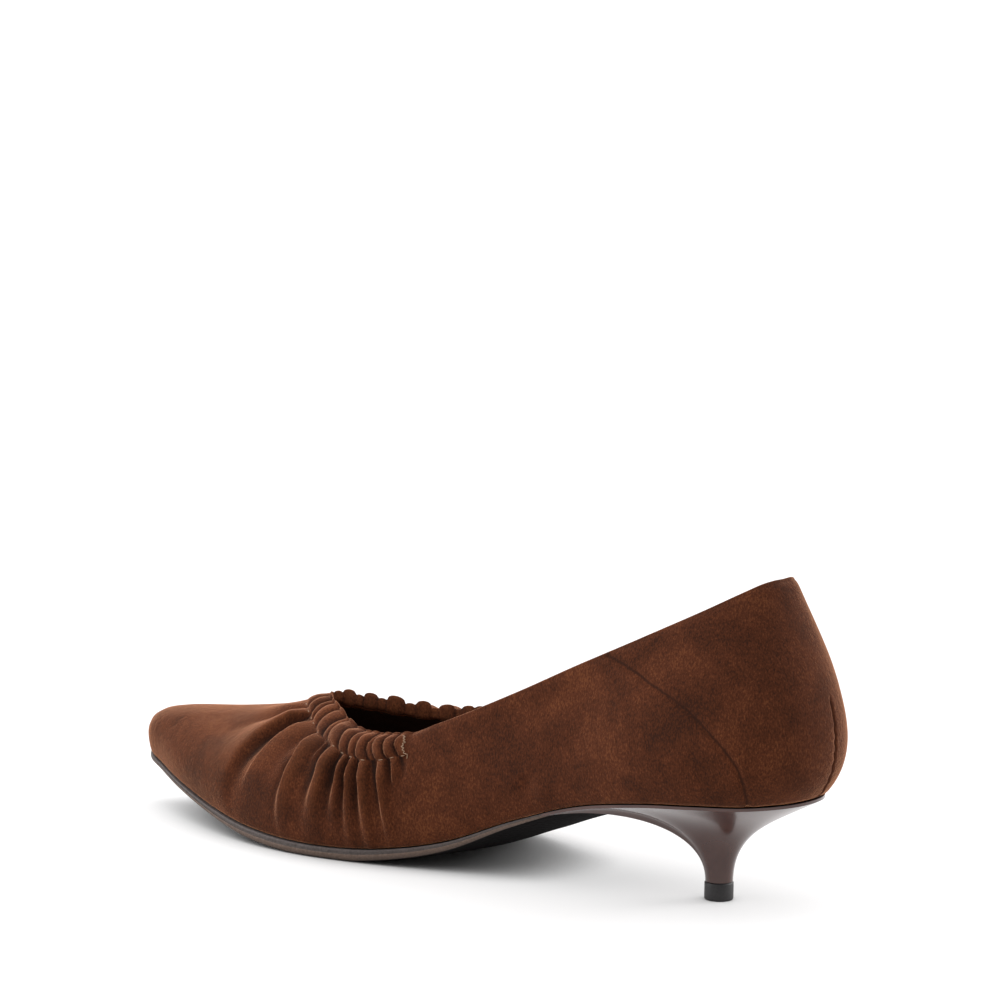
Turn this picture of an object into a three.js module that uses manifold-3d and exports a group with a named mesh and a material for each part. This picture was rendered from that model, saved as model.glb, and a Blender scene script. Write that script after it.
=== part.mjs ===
// Women's pointed kitten-heel pump with a gathered elastic collar: one right shoe, in millimetres.
// +X runs to the toe, +Y to the inner (big toe) side and +Z up, and the shoe stands on z = 0.
// Stations run from the back of the heel seat. The finished group is centred over its footprint.
import * as THREE from "three";
import { mergeVertices } from "three/addons/utils/BufferGeometryUtils.js";
import Module from "manifold-3d";

const wasm = await Module();
wasm.setup();

// Last
const footLength = 256; // feather line from the back of the seat to the toe tip
const ballWidth = 78; // feather line across the toe joints
const heelHeight = 35.5; // feather line at the back above the floor
const toeSpring = 13.4; // rise of the feather line from the ball to the toe tip
const toeLean = 4.3; // the toe tip lies this far to the inner side
const leanFrom = 144; // station where that lean starts
const fullness = 7; // how far the sides swell over the feather line
const backHeight = 65.2; // topline above the feather line at the back seam
const throatHeight = 39.2; // topline above the feather line of the ball, at the throat

// Upper
const wall = 1.8; // suede, stiffener and lining
const casingWall = 3.2; // folded edge that carries the elastic
const casingDepth = 9.5; // from the topline to the stitch line of the casing
const casingFrom = 129; // station where the casing ends, on each side
const casingFade = 4; // length of topline over which the casing swells up
const edgeSwell = 0.37; // share of the casing's swelling that is left at the topline
const foldHeight = 2.1; // highest gather
const foldMiddle = 0.55; // share of a gather's height in the middle of the casing
const foldEdge = 0.25; // the same at the topline and at the stitch line
const edgeCrown = 0.35; // rounding of the topline's edge

// Bottom
const gap = 0.3; // between cemented pieces
const treadThickness = 3.6; // outsole at the ball, where it is flat on the floor
const soleLip = 0.8; // the outsole stands out this far past the feather line
const tailTuck = 7; // its tail is this much narrower on each side
const tailAt = 62; // station where the tail ends in the heel
const shankCrown = 4.6; // the waist is rounded underneath by this much
const tailGap = 0.3; // between the outsole's tail and its rebate in the heel
const sockThickness = 2.4; // insole board with its padded sock
const sockRound = 0.6; // rounding of the sock's edge

// Heel
const liftAt = 33.4; // station of the top lift's middle
const liftRadius = 4.45;
const liftHeight = 5.6;
const liftBevel = 0.45;
const liftJoint = 0.1; // fine groove between heel and top lift
const stemInset = 0.22; // the heel's stem is this much smaller than the lift
const wingTip = 82; // station where the heel's wings end at the sides
const wingLip = 0.9; // upright edge of the heel along the feather line
const wingInset = 0.15; // this edge stands back from the feather line

const ballRise = treadThickness + gap;

// Turns rows of numbers into records with named columns.
function table(columns, rows) {
  return rows.map((row) => Object.fromEntries(columns.map((name, index) => [name, row[index]])));
}

// Half sections of the upper from the back seam to the toe tip, as shares of the sizes above.
// foot, rim: stations, on footLength; inner, outer, rimHalf: on ballWidth
// climb: from ball to heel height; spring: on toeSpring; top: from throat (0) to back (1)
// belly: on fullness; shoulder: on the plan distance from rim to foot
// bellyUp, shoulderDown: on the height of the section
const sections = table(
  [
    "foot", "inner", "outer", "climb", "spring", "rim", "rimHalf", "top",
    "belly", "bellyUp", "shoulder", "shoulderDown",
  ],
  [
    [0, 0, 0, 1, 0, 0.042, 0, 1, 2.35, 0.27, 0.76, 0.295],
    [0.0055, 0.103, 0.103, 0.997, 0, 0.0445, 0.058, 0.997, 2.3, 0.27, 0.76, 0.295],
    [0.023, 0.195, 0.195, 0.987, 0, 0.054, 0.115, 0.978, 2.15, 0.27, 0.82, 0.295],
    [0.051, 0.268, 0.268, 0.972, 0, 0.072, 0.167, 0.933, 1.85, 0.27, 0.92, 0.3],
    [0.102, 0.328, 0.33, 0.953, 0, 0.109, 0.236, 0.84, 1.3, 0.27, 1.1, 0.31],
    [0.18, 0.35, 0.353, 0.892, 0, 0.182, 0.3, 0.671, 0.95, 0.29, 1.3, 0.32],
    [0.273, 0.329, 0.342, 0.747, 0, 0.273, 0.323, 0.468, 0.72, 0.307, 1, 0.31],
    [0.367, 0.323, 0.355, 0.49, 0, 0.365, 0.332, 0.262, 0.86, 0.306, 1, 0.3],
    [0.461, 0.363, 0.412, 0.184, 0, 0.449, 0.347, 0.093, 0.86, 0.293, 1, 0.255],
    [0.555, 0.436, 0.481, 0.032, 0, 0.523, 0.346, -0.021, 0.72, 0.294, 1, 0.24],
    [0.648, 0.485, 0.511, 0, 0, 0.582, 0.308, -0.059, 0.66, 0.31, 0.95, 0.25],
    [0.738, 0.462, 0.465, 0, 0.097, 0.627, 0.244, -0.067, 0.66, 0.36, 0.88, 0.3],
    [0.816, 0.383, 0.36, 0, 0.306, 0.66, 0.173, -0.045, 0.7, 0.46, 0.8, 0.38],
    [0.895, 0.269, 0.238, 0, 0.597, 0.69, 0.105, -0.019, 0.8, 0.6, 0.72, 0.48],
    [0.949, 0.165, 0.142, 0, 0.8, 0.709, 0.054, -0.007, 0.92, 0.75, 0.69, 0.55],
    [0.984, 0.091, 0.079, 0, 0.933, 0.717, 0.024, -0.002, 1, 0.83, 0.68, 0.59],
    [1, 0, 0, 0, 1, 0.72, 0, 0, 1.04, 0.864, 0.68, 0.6],
  ],
);

// Gathers across and below the casing.
// at, width: place and half width, from the throat, on the casing's length
// height: on foldHeight; reach: how far it runs from the stitch line (0) to the feather line (1)
const foldColumns = ["at", "width", "height", "reach"];
const innerFolds = table(foldColumns, [
  [0.035, 0.05, 0.45, 0.4],
  [0.147, 0.062, 0.9, 0.85],
  [0.3, 0.06, 1, 0.85],
  [0.45, 0.05, 1, 0.85],
  [0.545, 0.04, 0.6, 0.4],
  [0.65, 0.045, 1, 0.75],
  [0.735, 0.036, 0.8, 0.65],
  [0.79, 0.03, 0.85, 0.9],
  [0.836, 0.028, 0.85, 0.9],
  [0.88, 0.027, 0.7, 0.6],
  [0.928, 0.028, 0.8, 0.7],
  [0.972, 0.026, 0.6, 0.4],
]);
const outerFolds = table(foldColumns, [
  [0.06, 0.055, 0.5, 0.4],
  [0.185, 0.065, 1, 0.8],
  [0.315, 0.06, 0.9, 0.85],
  [0.457, 0.06, 1, 0.8],
  [0.585, 0.055, 0.9, 0.7],
  [0.69, 0.045, 1, 0.8],
  [0.765, 0.036, 0.8, 0.6],
  [0.83, 0.032, 0.9, 0.85],
  [0.89, 0.03, 0.8, 0.7],
  [0.95, 0.03, 0.7, 0.5],
]);

// The gathers fan out from the throat to the sides: their lower ends lie further back by drift.
// at, drift: on the casing's length
const fan = table(
  ["at", "drift"],
  [
    [0, 0],
    [0.05, 0.1],
    [0.15, 0.23],
    [0.3, 0.18],
    [0.45, 0.13],
    [0.65, 0.06],
    [0.85, 0.08],
    [1, 0.05],
    [1.4, 0],
    [5, 0],
  ],
);

// The bottom under the upper, from the tail to the toe. at: on footLength
// lip, tuck, thickness, crown: on soleLip, tailTuck, treadThickness and shankCrown
const bottom = table(
  ["at", "lip", "tuck", "thickness", "crown"],
  [
    [0.242, 0, 1, 0.3, 0.8],
    [0.285, 0, 0.55, 0.33, 0.95],
    [0.328, 0, 0.17, 0.4, 1],
    [0.367, 0, 0.04, 0.5, 1],
    [0.438, 0.6, 0, 0.75, 0.7],
    [0.488, 0.9, 0, 0.9, 0.42],
    [0.543, 1, 0, 1, 0.12],
    [0.59, 1, 0, 1.1, 0],
    [0.742, 1, 0, 0.95, 0],
    [0.848, 0.8, 0, 0.64, 0],
    [1, 0.4, 0, 0.42, 0],
  ],
);

// Edge of the outsole from the tread to the top, as shares of its thickness and of soleLip.
const soleEdge = table(
  ["up", "out"],
  [
    [0, -1.6],
    [0.1, -0.2],
    [0.3, 0.85],
    [0.62, 1],
    [0.66, 0.4],
    [1, 0.4],
  ],
);

// Profiles of the heel from the stem to the seat. around: back (0), wing tip (0.7), breast (1)
// stand: upright stretch of the stem; drop: how far the flare sags; both on heelHeight
// fore, aside: how far the flare is drawn in to the stem, on its distance from it
const heelProfiles = table(
  ["around", "stand", "fore", "aside", "drop"],
  [
    [0, 0.445, 0.48, 0.48, 0.248],
    [0.3, 0.445, 0.49, 0.49, 0.22],
    [0.45, 0.45, 0.5, 0.5, 0.16],
    [0.6, 0.46, 0.46, 0.3, 0.03],
    [0.7, 0.487, 0.49, 0.13, -0.186],
    [0.85, 0.43, 0.5, 0.08, -0.186],
    [1, 0.39, 0.535, 0, -0.186],
  ],
);

// Smooth curve through a table's values, going on straight past its ends.
function through(places, values) {
  const last = places.length - 1;
  const slopes = places.map((_, index) => {
    const before = Math.max(index - 1, 0);
    const after = Math.min(index + 1, last);
    return (values[after] - values[before]) / (places[after] - places[before]);
  });
  return (place) => {
    if (place <= places[0]) return values[0] + slopes[0] * (place - places[0]);
    if (place >= places[last]) return values[last] + slopes[last] * (place - places[last]);
    const next = places.findIndex((value) => value > place);
    const from = next - 1;
    const span = places[next] - places[from];
    const t = (place - places[from]) / span;
    const bend = t * t * (3 - 2 * t);
    const leave = t * (1 - t) * (1 - t) * slopes[from];
    const arrive = t * t * (t - 1) * slopes[next];
    return values[from] + (values[next] - values[from]) * bend + (leave + arrive) * span;
  };
}

const column = (rows, name) => rows.map((row) => row[name]);

const footStations = column(sections, "foot").map((share) => share * footLength);
const feather = through(
  footStations,
  sections.map(({ climb, spring }) => ballRise + climb * (heelHeight - ballRise) + spring * toeSpring),
);

function lean(station) {
  const share = THREE.MathUtils.clamp((station - leanFrom) / (footLength - leanFrom), 0, 1);
  return toeLean * share * share;
}

const smooth = (value) => THREE.MathUtils.smoothstep(value, 0, 1);

// A closed curve through one point of each section: up the inner side and back down the outer side.
function around(place) {
  const inner = sections.map((section) => place(section, 1));
  const outer = sections.slice(1, -1).reverse().map((section) => place(section, -1));
  return new THREE.CatmullRomCurve3([...inner, ...outer], true, "centripetal");
}

const footCurve = around((section, side) => {
  const station = section.foot * footLength;
  const half = (side > 0 ? section.inner : section.outer) * ballWidth;
  return new THREE.Vector3(station, side * half + lean(station), 0);
});

function footPoint(t) {
  const point = footCurve.getPoint(t);
  point.z = feather(point.x);
  return point;
}

// Outward in plan, square to the feather line.
function outward(t) {
  const along = footCurve.getTangent(t);
  return new THREE.Vector3(-along.y, along.x, 0).normalize();
}

const throatRise = ballRise + throatHeight;
const backRise = heelHeight + backHeight;

function rimPlace(section, side) {
  const station = section.rim * footLength;
  const height = throatRise + section.top * (backRise - throatRise);
  return new THREE.Vector3(station, side * section.rimHalf * ballWidth + lean(station), height);
}

function sectionAt(section, side) {
  const index = sections.indexOf(section);
  const turns = 2 * (sections.length - 1);
  return side > 0 ? index / turns : (turns - index) / turns;
}

const rimCurve = around(rimPlace);

const bellyCurve = around((section, side) => {
  const t = sectionAt(section, side);
  const foot = footPoint(t);
  const rise = rimPlace(section, side).z - foot.z;
  foot.addScaledVector(outward(t), section.belly * fullness);
  foot.z += section.bellyUp * rise;
  return foot;
});

const shoulderCurve = around((section, side) => {
  const foot = footPoint(sectionAt(section, side));
  const rim = rimPlace(section, side);
  const rise = rim.z - foot.z;
  rim.lerp(new THREE.Vector3(foot.x, foot.y, rim.z), section.shoulder);
  rim.z -= section.shoulderDown * rise;
  return rim;
});

// The smooth wall: t goes round the shoe, v from the feather line (0) to the topline (1).
function wallPoint(t, v) {
  const w = 1 - v;
  const turn = (t + 1) % 1;
  return new THREE.Vector3()
    .addScaledVector(footPoint(turn), w * w * w)
    .addScaledVector(bellyCurve.getPoint(turn), 3 * w * w * v)
    .addScaledVector(shoulderCurve.getPoint(turn), 3 * w * v * v)
    .addScaledVector(rimCurve.getPoint(turn), v * v * v);
}

function wallNormal(t, v) {
  const turnStep = 0.0005;
  const heightStep = 0.01;
  const low = Math.max(v - heightStep, 0);
  const high = Math.min(v + heightStep, 1);
  const along = wallPoint(t + turnStep, v).sub(wallPoint(t - turnStep, v));
  const up = wallPoint(t, high).sub(wallPoint(t, low));
  return up.cross(along).normalize();
}

// Heights v on the wall at given lengths down from the topline.
function wallRuler(t) {
  const steps = 24;
  const lengths = [0];
  let previous = wallPoint(t, 1);
  for (let index = 1; index <= steps; index += 1) {
    const point = wallPoint(t, 1 - index / steps);
    lengths.push(lengths[index - 1] + point.distanceTo(previous));
    previous = point;
  }
  const total = lengths[steps];
  const heightAt = (length) => {
    if (length >= total) return 0;
    const next = Math.max(lengths.findIndex((value) => value >= length), 1);
    const share = (length - lengths[next - 1]) / (lengths[next] - lengths[next - 1]);
    return 1 - (next - 1 + share) / steps;
  };
  return { total, heightAt };
}

// Rim lengths from the back seam, to place columns and gathers along the topline.
const rimSteps = 800;
const rimLengths = [0];
for (let index = 1; index <= rimSteps / 2; index += 1) {
  const here = rimCurve.getPoint(index / rimSteps);
  rimLengths.push(rimLengths[index - 1] + here.distanceTo(rimCurve.getPoint((index - 1) / rimSteps)));
}
const throatLength = rimLengths[rimSteps / 2];
const casingStep = rimLengths.findIndex((_, index) => rimCurve.getPoint(index / rimSteps).x > casingFrom);
const casingTurn = casingStep / rimSteps;
const casingLength = throatLength - rimLengths[casingStep];

function rimLengthAt(t) {
  const place = Math.min(t, 1 - t) * rimSteps;
  const from = Math.min(Math.floor(place), rimSteps / 2 - 1);
  return rimLengths[from] + (place - from) * (rimLengths[from + 1] - rimLengths[from]);
}

function rimTurnAt(length) {
  const next = Math.max(rimLengths.findIndex((value) => value >= length - 1e-9), 1);
  const share = (length - rimLengths[next - 1]) / (rimLengths[next] - rimLengths[next - 1]);
  return (next - 1 + share) / rimSteps;
}

const drift = through(column(fan, "at"), column(fan, "drift"));

// Place along the topline in casing lengths from the throat.
const placeAt = (t) => (throatLength - rimLengthAt(t)) / casingLength;

// The turn on the wall below a turn of the topline, carried back by the fan.
function fannedTurn(t, level) {
  const down = THREE.MathUtils.clamp(level - 1, 0, 1);
  const shift = drift(placeAt(t)) * (1 - (1 - down) ** 2);
  if (shift === 0) return t;
  const turn = rimTurnAt(throatLength - casingLength * (placeAt(t) + shift));
  return t > 0.5 ? 1 - turn : turn;
}

// level: 0 at the topline, 1 at the casing's stitch line, 2 at the feather line.
function swell(t, level) {
  const place = placeAt(t);
  const inCasing = smooth(((1 - place) * casingLength) / casingFade);
  const start = Math.asin(edgeSwell) / Math.PI;
  const bow = Math.sin(Math.PI * THREE.MathUtils.lerp(start, 1, Math.min(level, 1)));
  const down = Math.max(level - 1, 0);
  const acrossCasing = foldMiddle + (foldEdge - foldMiddle) * Math.abs(2 * level - 1) ** 3;
  let gather = 0;
  for (const fold of t < 0.5 ? innerFolds : outerFolds) {
    const beside = Math.min(Math.abs(place - fold.at) / fold.width, 1);
    const ridge = Math.cos((beside * Math.PI) / 2) ** 2;
    const fade = level < 1 ? acrossCasing : 1 - smooth(down / fold.reach);
    gather += fold.height * foldHeight * ridge * fade;
  }
  return (casingWall - wall) * bow * inCasing + gather;
}

// A closed skin over loops with equal counts. A ring of loops closes on itself. A stack is capped by
// strips between its two sides; the loops' first and middle points are the ends of these caps.
function skin(loops, isRing) {
  const count = loops[0].length;
  const positions = [];
  const faces = [];
  for (const loop of loops) {
    for (const point of loop) positions.push(point.x, point.y, point.z);
  }
  const rows = isRing ? loops.length : loops.length - 1;
  for (let row = 0; row < rows; row += 1) {
    const low = row * count;
    const high = ((row + 1) % loops.length) * count;
    for (let index = 0; index < count; index += 1) {
      const next = (index + 1) % count;
      faces.push(low + next, low + index, high + index);
      faces.push(low + next, high + index, high + next);
    }
  }
  if (!isRing) {
    const top = (loops.length - 1) * count;
    for (let index = 0; index < count / 2; index += 1) {
      const a = index;
      const b = index + 1;
      const c = count - index - 1;
      const d = (count - index) % count;
      if (b !== c) faces.push(a, b, c, top + c, top + b, top + a);
      if (a !== d) faces.push(a, c, d, top + d, top + c, top + a);
    }
  }
  const geometry = new THREE.BufferGeometry();
  geometry.setAttribute("position", new THREE.Float32BufferAttribute(positions, 3));
  geometry.setIndex(faces);
  geometry.computeVertexNormals();
  return geometry;
}

// One solid less another.
function cut(body, cutter) {
  const [whole, tool] = [body, cutter].map((geometry) => {
    const bare = geometry.clone();
    bare.deleteAttribute("normal");
    const merged = mergeVertices(bare);
    const mesh = new wasm.Mesh({
      numProp: 3,
      vertProperties: new Float32Array(merged.attributes.position.array),
      triVerts: new Uint32Array(merged.index.array),
    });
    return new wasm.Manifold(mesh);
  });
  const result = whole.subtract(tool).getMesh();
  const geometry = new THREE.BufferGeometry();
  geometry.setAttribute("position", new THREE.BufferAttribute(result.vertProperties, 3));
  geometry.setIndex(new THREE.BufferAttribute(result.triVerts, 1));
  geometry.computeVertexNormals();
  return geometry;
}

function mirrored(turns) {
  const back = turns.slice(1, -1).reverse().map((t) => 1 - t);
  return [...turns, ...back];
}

function makeUpper() {
  const plainColumns = 28;
  const gatherColumns = 72;
  const crowding = 0.5; // columns stand closer together at both ends of the casing
  const turns = [];
  for (let index = 0; index < plainColumns; index += 1) {
    turns.push((casingTurn * index) / plainColumns);
  }
  for (let index = 0; index <= gatherColumns; index += 1) {
    const share = index / gatherColumns;
    const crowded = share - (crowding * Math.sin(2 * Math.PI * share)) / (2 * Math.PI);
    turns.push(rimTurnAt(throatLength - casingLength * (1 - crowded)));
  }
  const columns = mirrored(turns);
  const outerLevels = [2, 1.93, 1.82, 1.67, 1.5, 1.33, 1.18, 1.06, 1, 0.72, 0.4, 0.12];
  const innerLevels = [0.5, 1.35, 1.75, 1.92];
  const place = (top, level) => {
    const t = fannedTurn(top, level);
    const { total, heightAt } = wallRuler(t);
    const depth = Math.min(level, 1) * casingDepth + Math.max(level - 1, 0) * (total - casingDepth);
    return { t, v: heightAt(depth) };
  };
  const outer = outerLevels.map((level) =>
    columns.map((top) => {
      const { t, v } = place(top, level);
      if (v === 0) return footPoint(t);
      return wallPoint(t, v).addScaledVector(wallNormal(t, v), swell(top, level));
    }),
  );
  const inner = innerLevels.map((level) =>
    columns.map((top) => {
      const { t, v } = place(top, level);
      return wallPoint(t, v).addScaledVector(wallNormal(t, v), -wall);
    }),
  );
  const edge = [0.25, 0.75].map((share) =>
    columns.map((t) => {
      const normal = wallNormal(t, 1);
      const across = swell(t, 0) * (1 - share) - wall * share;
      const point = wallPoint(t, 1).addScaledVector(normal, across);
      point.z += edgeCrown;
      return point;
    }),
  );
  const innerFoot = columns.map((top) => {
    const t = fannedTurn(top, 2);
    const point = footPoint(t).addScaledVector(outward(t), -wall);
    point.z = feather(point.x);
    return point;
  });
  return skin([...outer, ...edge, ...inner, innerFoot], true);
}

const solePlaces = column(bottom, "at").map((share) => share * footLength);
const soleValue = Object.fromEntries(
  ["lip", "tuck", "thickness", "crown"].map((name) => [name, through(solePlaces, column(bottom, name))]),
);

// Turns of the feather line from a station to the toe tip, closer together round the toe.
function turnsFrom(station, count) {
  const steps = 400;
  let first = 0;
  while (footCurve.getPoint(first / steps).x < station) first += 1;
  const start = first / steps;
  const turns = [];
  for (let index = 0; index <= count; index += 1) turns.push(start + ((0.5 - start) * index) / count);
  return turns;
}

// The outsole, or with a clearance the room that it takes up in the heel.
function makeOutsole(clearance) {
  const sideCount = 40;
  const turns = turnsFrom(tailAt, sideCount);
  const columns = [...turns, ...turns.slice(0, -1).reverse().map((t) => 1 - t)];
  const edgePoint = (t, out) => {
    const foot = footCurve.getPoint(t);
    const lip = soleValue.lip(foot.x) * soleLip * out;
    const tuck = soleValue.tuck(foot.x) * tailTuck;
    foot.addScaledVector(outward(t), lip - tuck + clearance);
    foot.x = Math.max(foot.x, tailAt - clearance);
    return foot;
  };
  const topHeight = (x) => feather(x) - gap + clearance;
  const bottomHeight = (x) => {
    const thickness = soleValue.thickness(x) * treadThickness;
    return Math.max(feather(x) - gap - thickness, 0);
  };
  const withTail = (loop) => {
    const end = loop[0].clone().lerp(loop[loop.length - 1], 0.5);
    end.x = tailAt - clearance;
    return [end, ...loop];
  };
  const edgeLoops = soleEdge.map(({ up, out }) => {
    const loop = withTail(columns.map((t) => edgePoint(t, out)));
    for (const point of loop) {
      const low = bottomHeight(point.x) - clearance;
      point.z = THREE.MathUtils.lerp(low, topHeight(point.x), up);
    }
    return loop;
  });
  const rim = edgeLoops[0];
  const innerLoops = [0.12, 0.4, 0.7].map((share) =>
    rim.map((point, index) => {
      const facing = rim[(rim.length - index) % rim.length];
      const middle = point.clone().lerp(facing, 0.5);
      const place = middle.lerp(point, share);
      const crown = soleValue.crown(place.x) * shankCrown * (1 - share * share);
      place.z = Math.max(bottomHeight(place.x) - crown, 0) - clearance;
      return place;
    }),
  );
  return skin([...innerLoops, ...edgeLoops], false);
}

function makeInsole() {
  const halfCount = 44;
  const turns = [];
  for (let index = 0; index <= halfCount; index += 1) turns.push(index / halfCount / 2);
  const columns = mirrored(turns);
  const loop = (inset, lift) =>
    columns.map((t) => {
      const point = footCurve.getPoint(t).addScaledVector(outward(t), -wall - gap - inset);
      point.z = feather(point.x) + lift;
      return point;
    });
  return skin([loop(0, 0), loop(0, sockThickness - sockRound), loop(sockRound, sockThickness)], false);
}

function makeHeel() {
  const sideCount = 24;
  const breastCount = 10;
  const profileSteps = 11;
  const half = sideCount + breastCount;
  const stemRadius = liftRadius - stemInset;
  const stemFoot = liftHeight + liftJoint;
  const profile = Object.fromEntries(
    ["stand", "fore", "aside", "drop"].map((name) => [
      name,
      through(column(heelProfiles, "around"), column(heelProfiles, name)),
    ]),
  );
  let wingTurn = 0;
  while (footCurve.getPoint(wingTurn).x < wingTip) wingTurn += 0.0005;
  const seatPlace = (index) => {
    const side = index <= half ? 1 : -1;
    const step = index <= half ? index : 2 * half - index;
    const t = wingTurn * Math.min(step / sideCount, 1);
    const turn = side > 0 ? t : (1 - t) % 1;
    const point = footCurve.getPoint(turn).addScaledVector(outward(turn), -wingInset);
    if (step > sideCount) point.y *= (half - step) / breastCount;
    return { point, share: step / half, side };
  };
  const places = Array.from({ length: 2 * half }, (_, index) => seatPlace(index));
  const loops = [];
  for (let step = 0; step <= profileSteps; step += 1) {
    const curve = places.map(({ point, share, side }) => {
      const angle = Math.PI * (1 - share);
      const stem = new THREE.Vector3(
        liftAt + stemRadius * Math.cos(angle),
        side * stemRadius * Math.sin(angle),
        stemFoot,
      );
      const seat = new THREE.Vector3(point.x, point.y, feather(point.x) - gap - wingLip);
      const stand = stem.clone();
      stand.z += profile.stand(share) * heelHeight;
      const flare = new THREE.Vector3(
        THREE.MathUtils.lerp(seat.x, liftAt, profile.fore(share)),
        seat.y * (1 - profile.aside(share)),
        seat.z - profile.drop(share) * heelHeight,
      );
      return new THREE.CubicBezierCurve3(stem, stand, flare, seat).getPoint(step / profileSteps);
    });
    loops.push(curve);
  }
  const top = places.map(({ point }) => new THREE.Vector3(point.x, point.y, feather(point.x) - gap));
  loops.push(top);
  return cut(skin(loops, false), makeOutsole(tailGap));
}

function makeTopLift() {
  const outline = [
    new THREE.Vector2(0, 0),
    new THREE.Vector2(liftRadius - liftBevel, 0),
    new THREE.Vector2(liftRadius, liftBevel),
    new THREE.Vector2(liftRadius, liftHeight),
    new THREE.Vector2(0, liftHeight),
  ];
  const geometry = new THREE.LatheGeometry(outline, 36);
  geometry.rotateX(Math.PI / 2);
  return geometry;
}

const suede = new THREE.MeshStandardMaterial({ color: 0x5c3220, roughness: 0.95, metalness: 0 });
const sockLeather = new THREE.MeshStandardMaterial({ color: 0x3a2219, roughness: 0.6, metalness: 0 });
const soleRubber = new THREE.MeshStandardMaterial({ color: 0x4a4340, roughness: 0.55, metalness: 0 });
const heelLacquer = new THREE.MeshStandardMaterial({ color: 0x51362f, roughness: 0.2, metalness: 0 });
const liftRubber = new THREE.MeshStandardMaterial({ color: 0x1a1716, roughness: 0.6, metalness: 0 });

function piece(name, geometry, material) {
  const mesh = new THREE.Mesh(geometry, material);
  mesh.name = name;
  return mesh;
}

const topLift = piece("top_lift", makeTopLift(), liftRubber);
topLift.position.set(liftAt, 0, 0);

const shoe = new THREE.Group();
shoe.add(
  piece("upper", makeUpper(), suede),
  piece("insole", makeInsole(), sockLeather),
  piece("outsole", makeOutsole(0), soleRubber),
  piece("heel", makeHeel(), heelLacquer),
  topLift,
);

const box = new THREE.Box3().setFromObject(shoe);
const middle = box.getCenter(new THREE.Vector3());
shoe.position.set(-middle.x, -middle.y, -box.min.z);

export default shoe;
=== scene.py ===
import math
import bmesh
import bpy
import numpy as np
from mathutils import Matrix, Vector


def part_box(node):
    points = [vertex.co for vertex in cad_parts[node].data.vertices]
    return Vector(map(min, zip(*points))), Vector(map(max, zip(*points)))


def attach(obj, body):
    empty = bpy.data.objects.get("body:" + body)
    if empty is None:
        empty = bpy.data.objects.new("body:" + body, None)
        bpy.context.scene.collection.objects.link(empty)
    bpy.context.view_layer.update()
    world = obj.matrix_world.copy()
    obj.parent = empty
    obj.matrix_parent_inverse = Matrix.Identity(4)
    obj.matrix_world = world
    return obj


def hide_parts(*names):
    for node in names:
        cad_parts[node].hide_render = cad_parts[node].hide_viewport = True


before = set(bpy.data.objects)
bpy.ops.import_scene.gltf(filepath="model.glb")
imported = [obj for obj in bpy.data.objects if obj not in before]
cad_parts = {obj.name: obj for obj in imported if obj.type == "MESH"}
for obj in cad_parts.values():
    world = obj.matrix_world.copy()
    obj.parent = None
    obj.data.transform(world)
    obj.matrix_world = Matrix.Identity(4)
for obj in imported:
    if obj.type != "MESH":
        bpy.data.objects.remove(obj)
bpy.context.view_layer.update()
print("frame loaded")

# The last in millimetres, stations from the back of the seat, as in the shoe's own pattern.
last = {
    "footLength": 256,
    "ballWidth": 78,
    "heelHeight": 35.5,
    "toeSpring": 13.4,
    "toeLean": 4.3,
    "leanFrom": 144,
    "fullness": 7,
    "backHeight": 65.2,
    "throatHeight": 39.2,
    "ballRise": 3.9,
    "liftAt": 33.4,
}

# Half sections from the back seam to the toe tip: foot, inner, outer, climb, spring, rim, rimHalf, top,
# belly, bellyUp, shoulder, shoulderDown, as shares of the sizes above.
sections = np.array([
    (0, 0, 0, 1, 0, 0.042, 0, 1, 2.35, 0.27, 0.76, 0.295),
    (0.0055, 0.103, 0.103, 0.997, 0, 0.0445, 0.058, 0.997, 2.3, 0.27, 0.76, 0.295),
    (0.023, 0.195, 0.195, 0.987, 0, 0.054, 0.115, 0.978, 2.15, 0.27, 0.82, 0.295),
    (0.051, 0.268, 0.268, 0.972, 0, 0.072, 0.167, 0.933, 1.85, 0.27, 0.92, 0.3),
    (0.102, 0.328, 0.33, 0.953, 0, 0.109, 0.236, 0.84, 1.3, 0.27, 1.1, 0.31),
    (0.18, 0.35, 0.353, 0.892, 0, 0.182, 0.3, 0.671, 0.95, 0.29, 1.3, 0.32),
    (0.273, 0.329, 0.342, 0.747, 0, 0.273, 0.323, 0.468, 0.72, 0.307, 1, 0.31),
    (0.367, 0.323, 0.355, 0.49, 0, 0.365, 0.332, 0.262, 0.86, 0.306, 1, 0.3),
    (0.461, 0.363, 0.412, 0.184, 0, 0.449, 0.347, 0.093, 0.86, 0.293, 1, 0.255),
    (0.555, 0.436, 0.481, 0.032, 0, 0.523, 0.346, -0.021, 0.72, 0.294, 1, 0.24),
    (0.648, 0.485, 0.511, 0, 0, 0.582, 0.308, -0.059, 0.66, 0.31, 0.95, 0.25),
    (0.738, 0.462, 0.465, 0, 0.097, 0.627, 0.244, -0.067, 0.66, 0.36, 0.88, 0.3),
    (0.816, 0.383, 0.36, 0, 0.306, 0.66, 0.173, -0.045, 0.7, 0.46, 0.8, 0.38),
    (0.895, 0.269, 0.238, 0, 0.597, 0.69, 0.105, -0.019, 0.8, 0.6, 0.72, 0.48),
    (0.949, 0.165, 0.142, 0, 0.8, 0.709, 0.054, -0.007, 0.92, 0.75, 0.69, 0.55),
    (0.984, 0.091, 0.079, 0, 0.933, 0.717, 0.024, -0.002, 1, 0.83, 0.68, 0.59),
    (1, 0, 0, 0, 1, 0.72, 0, 0, 1.04, 0.864, 0.68, 0.6),
])


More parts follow.
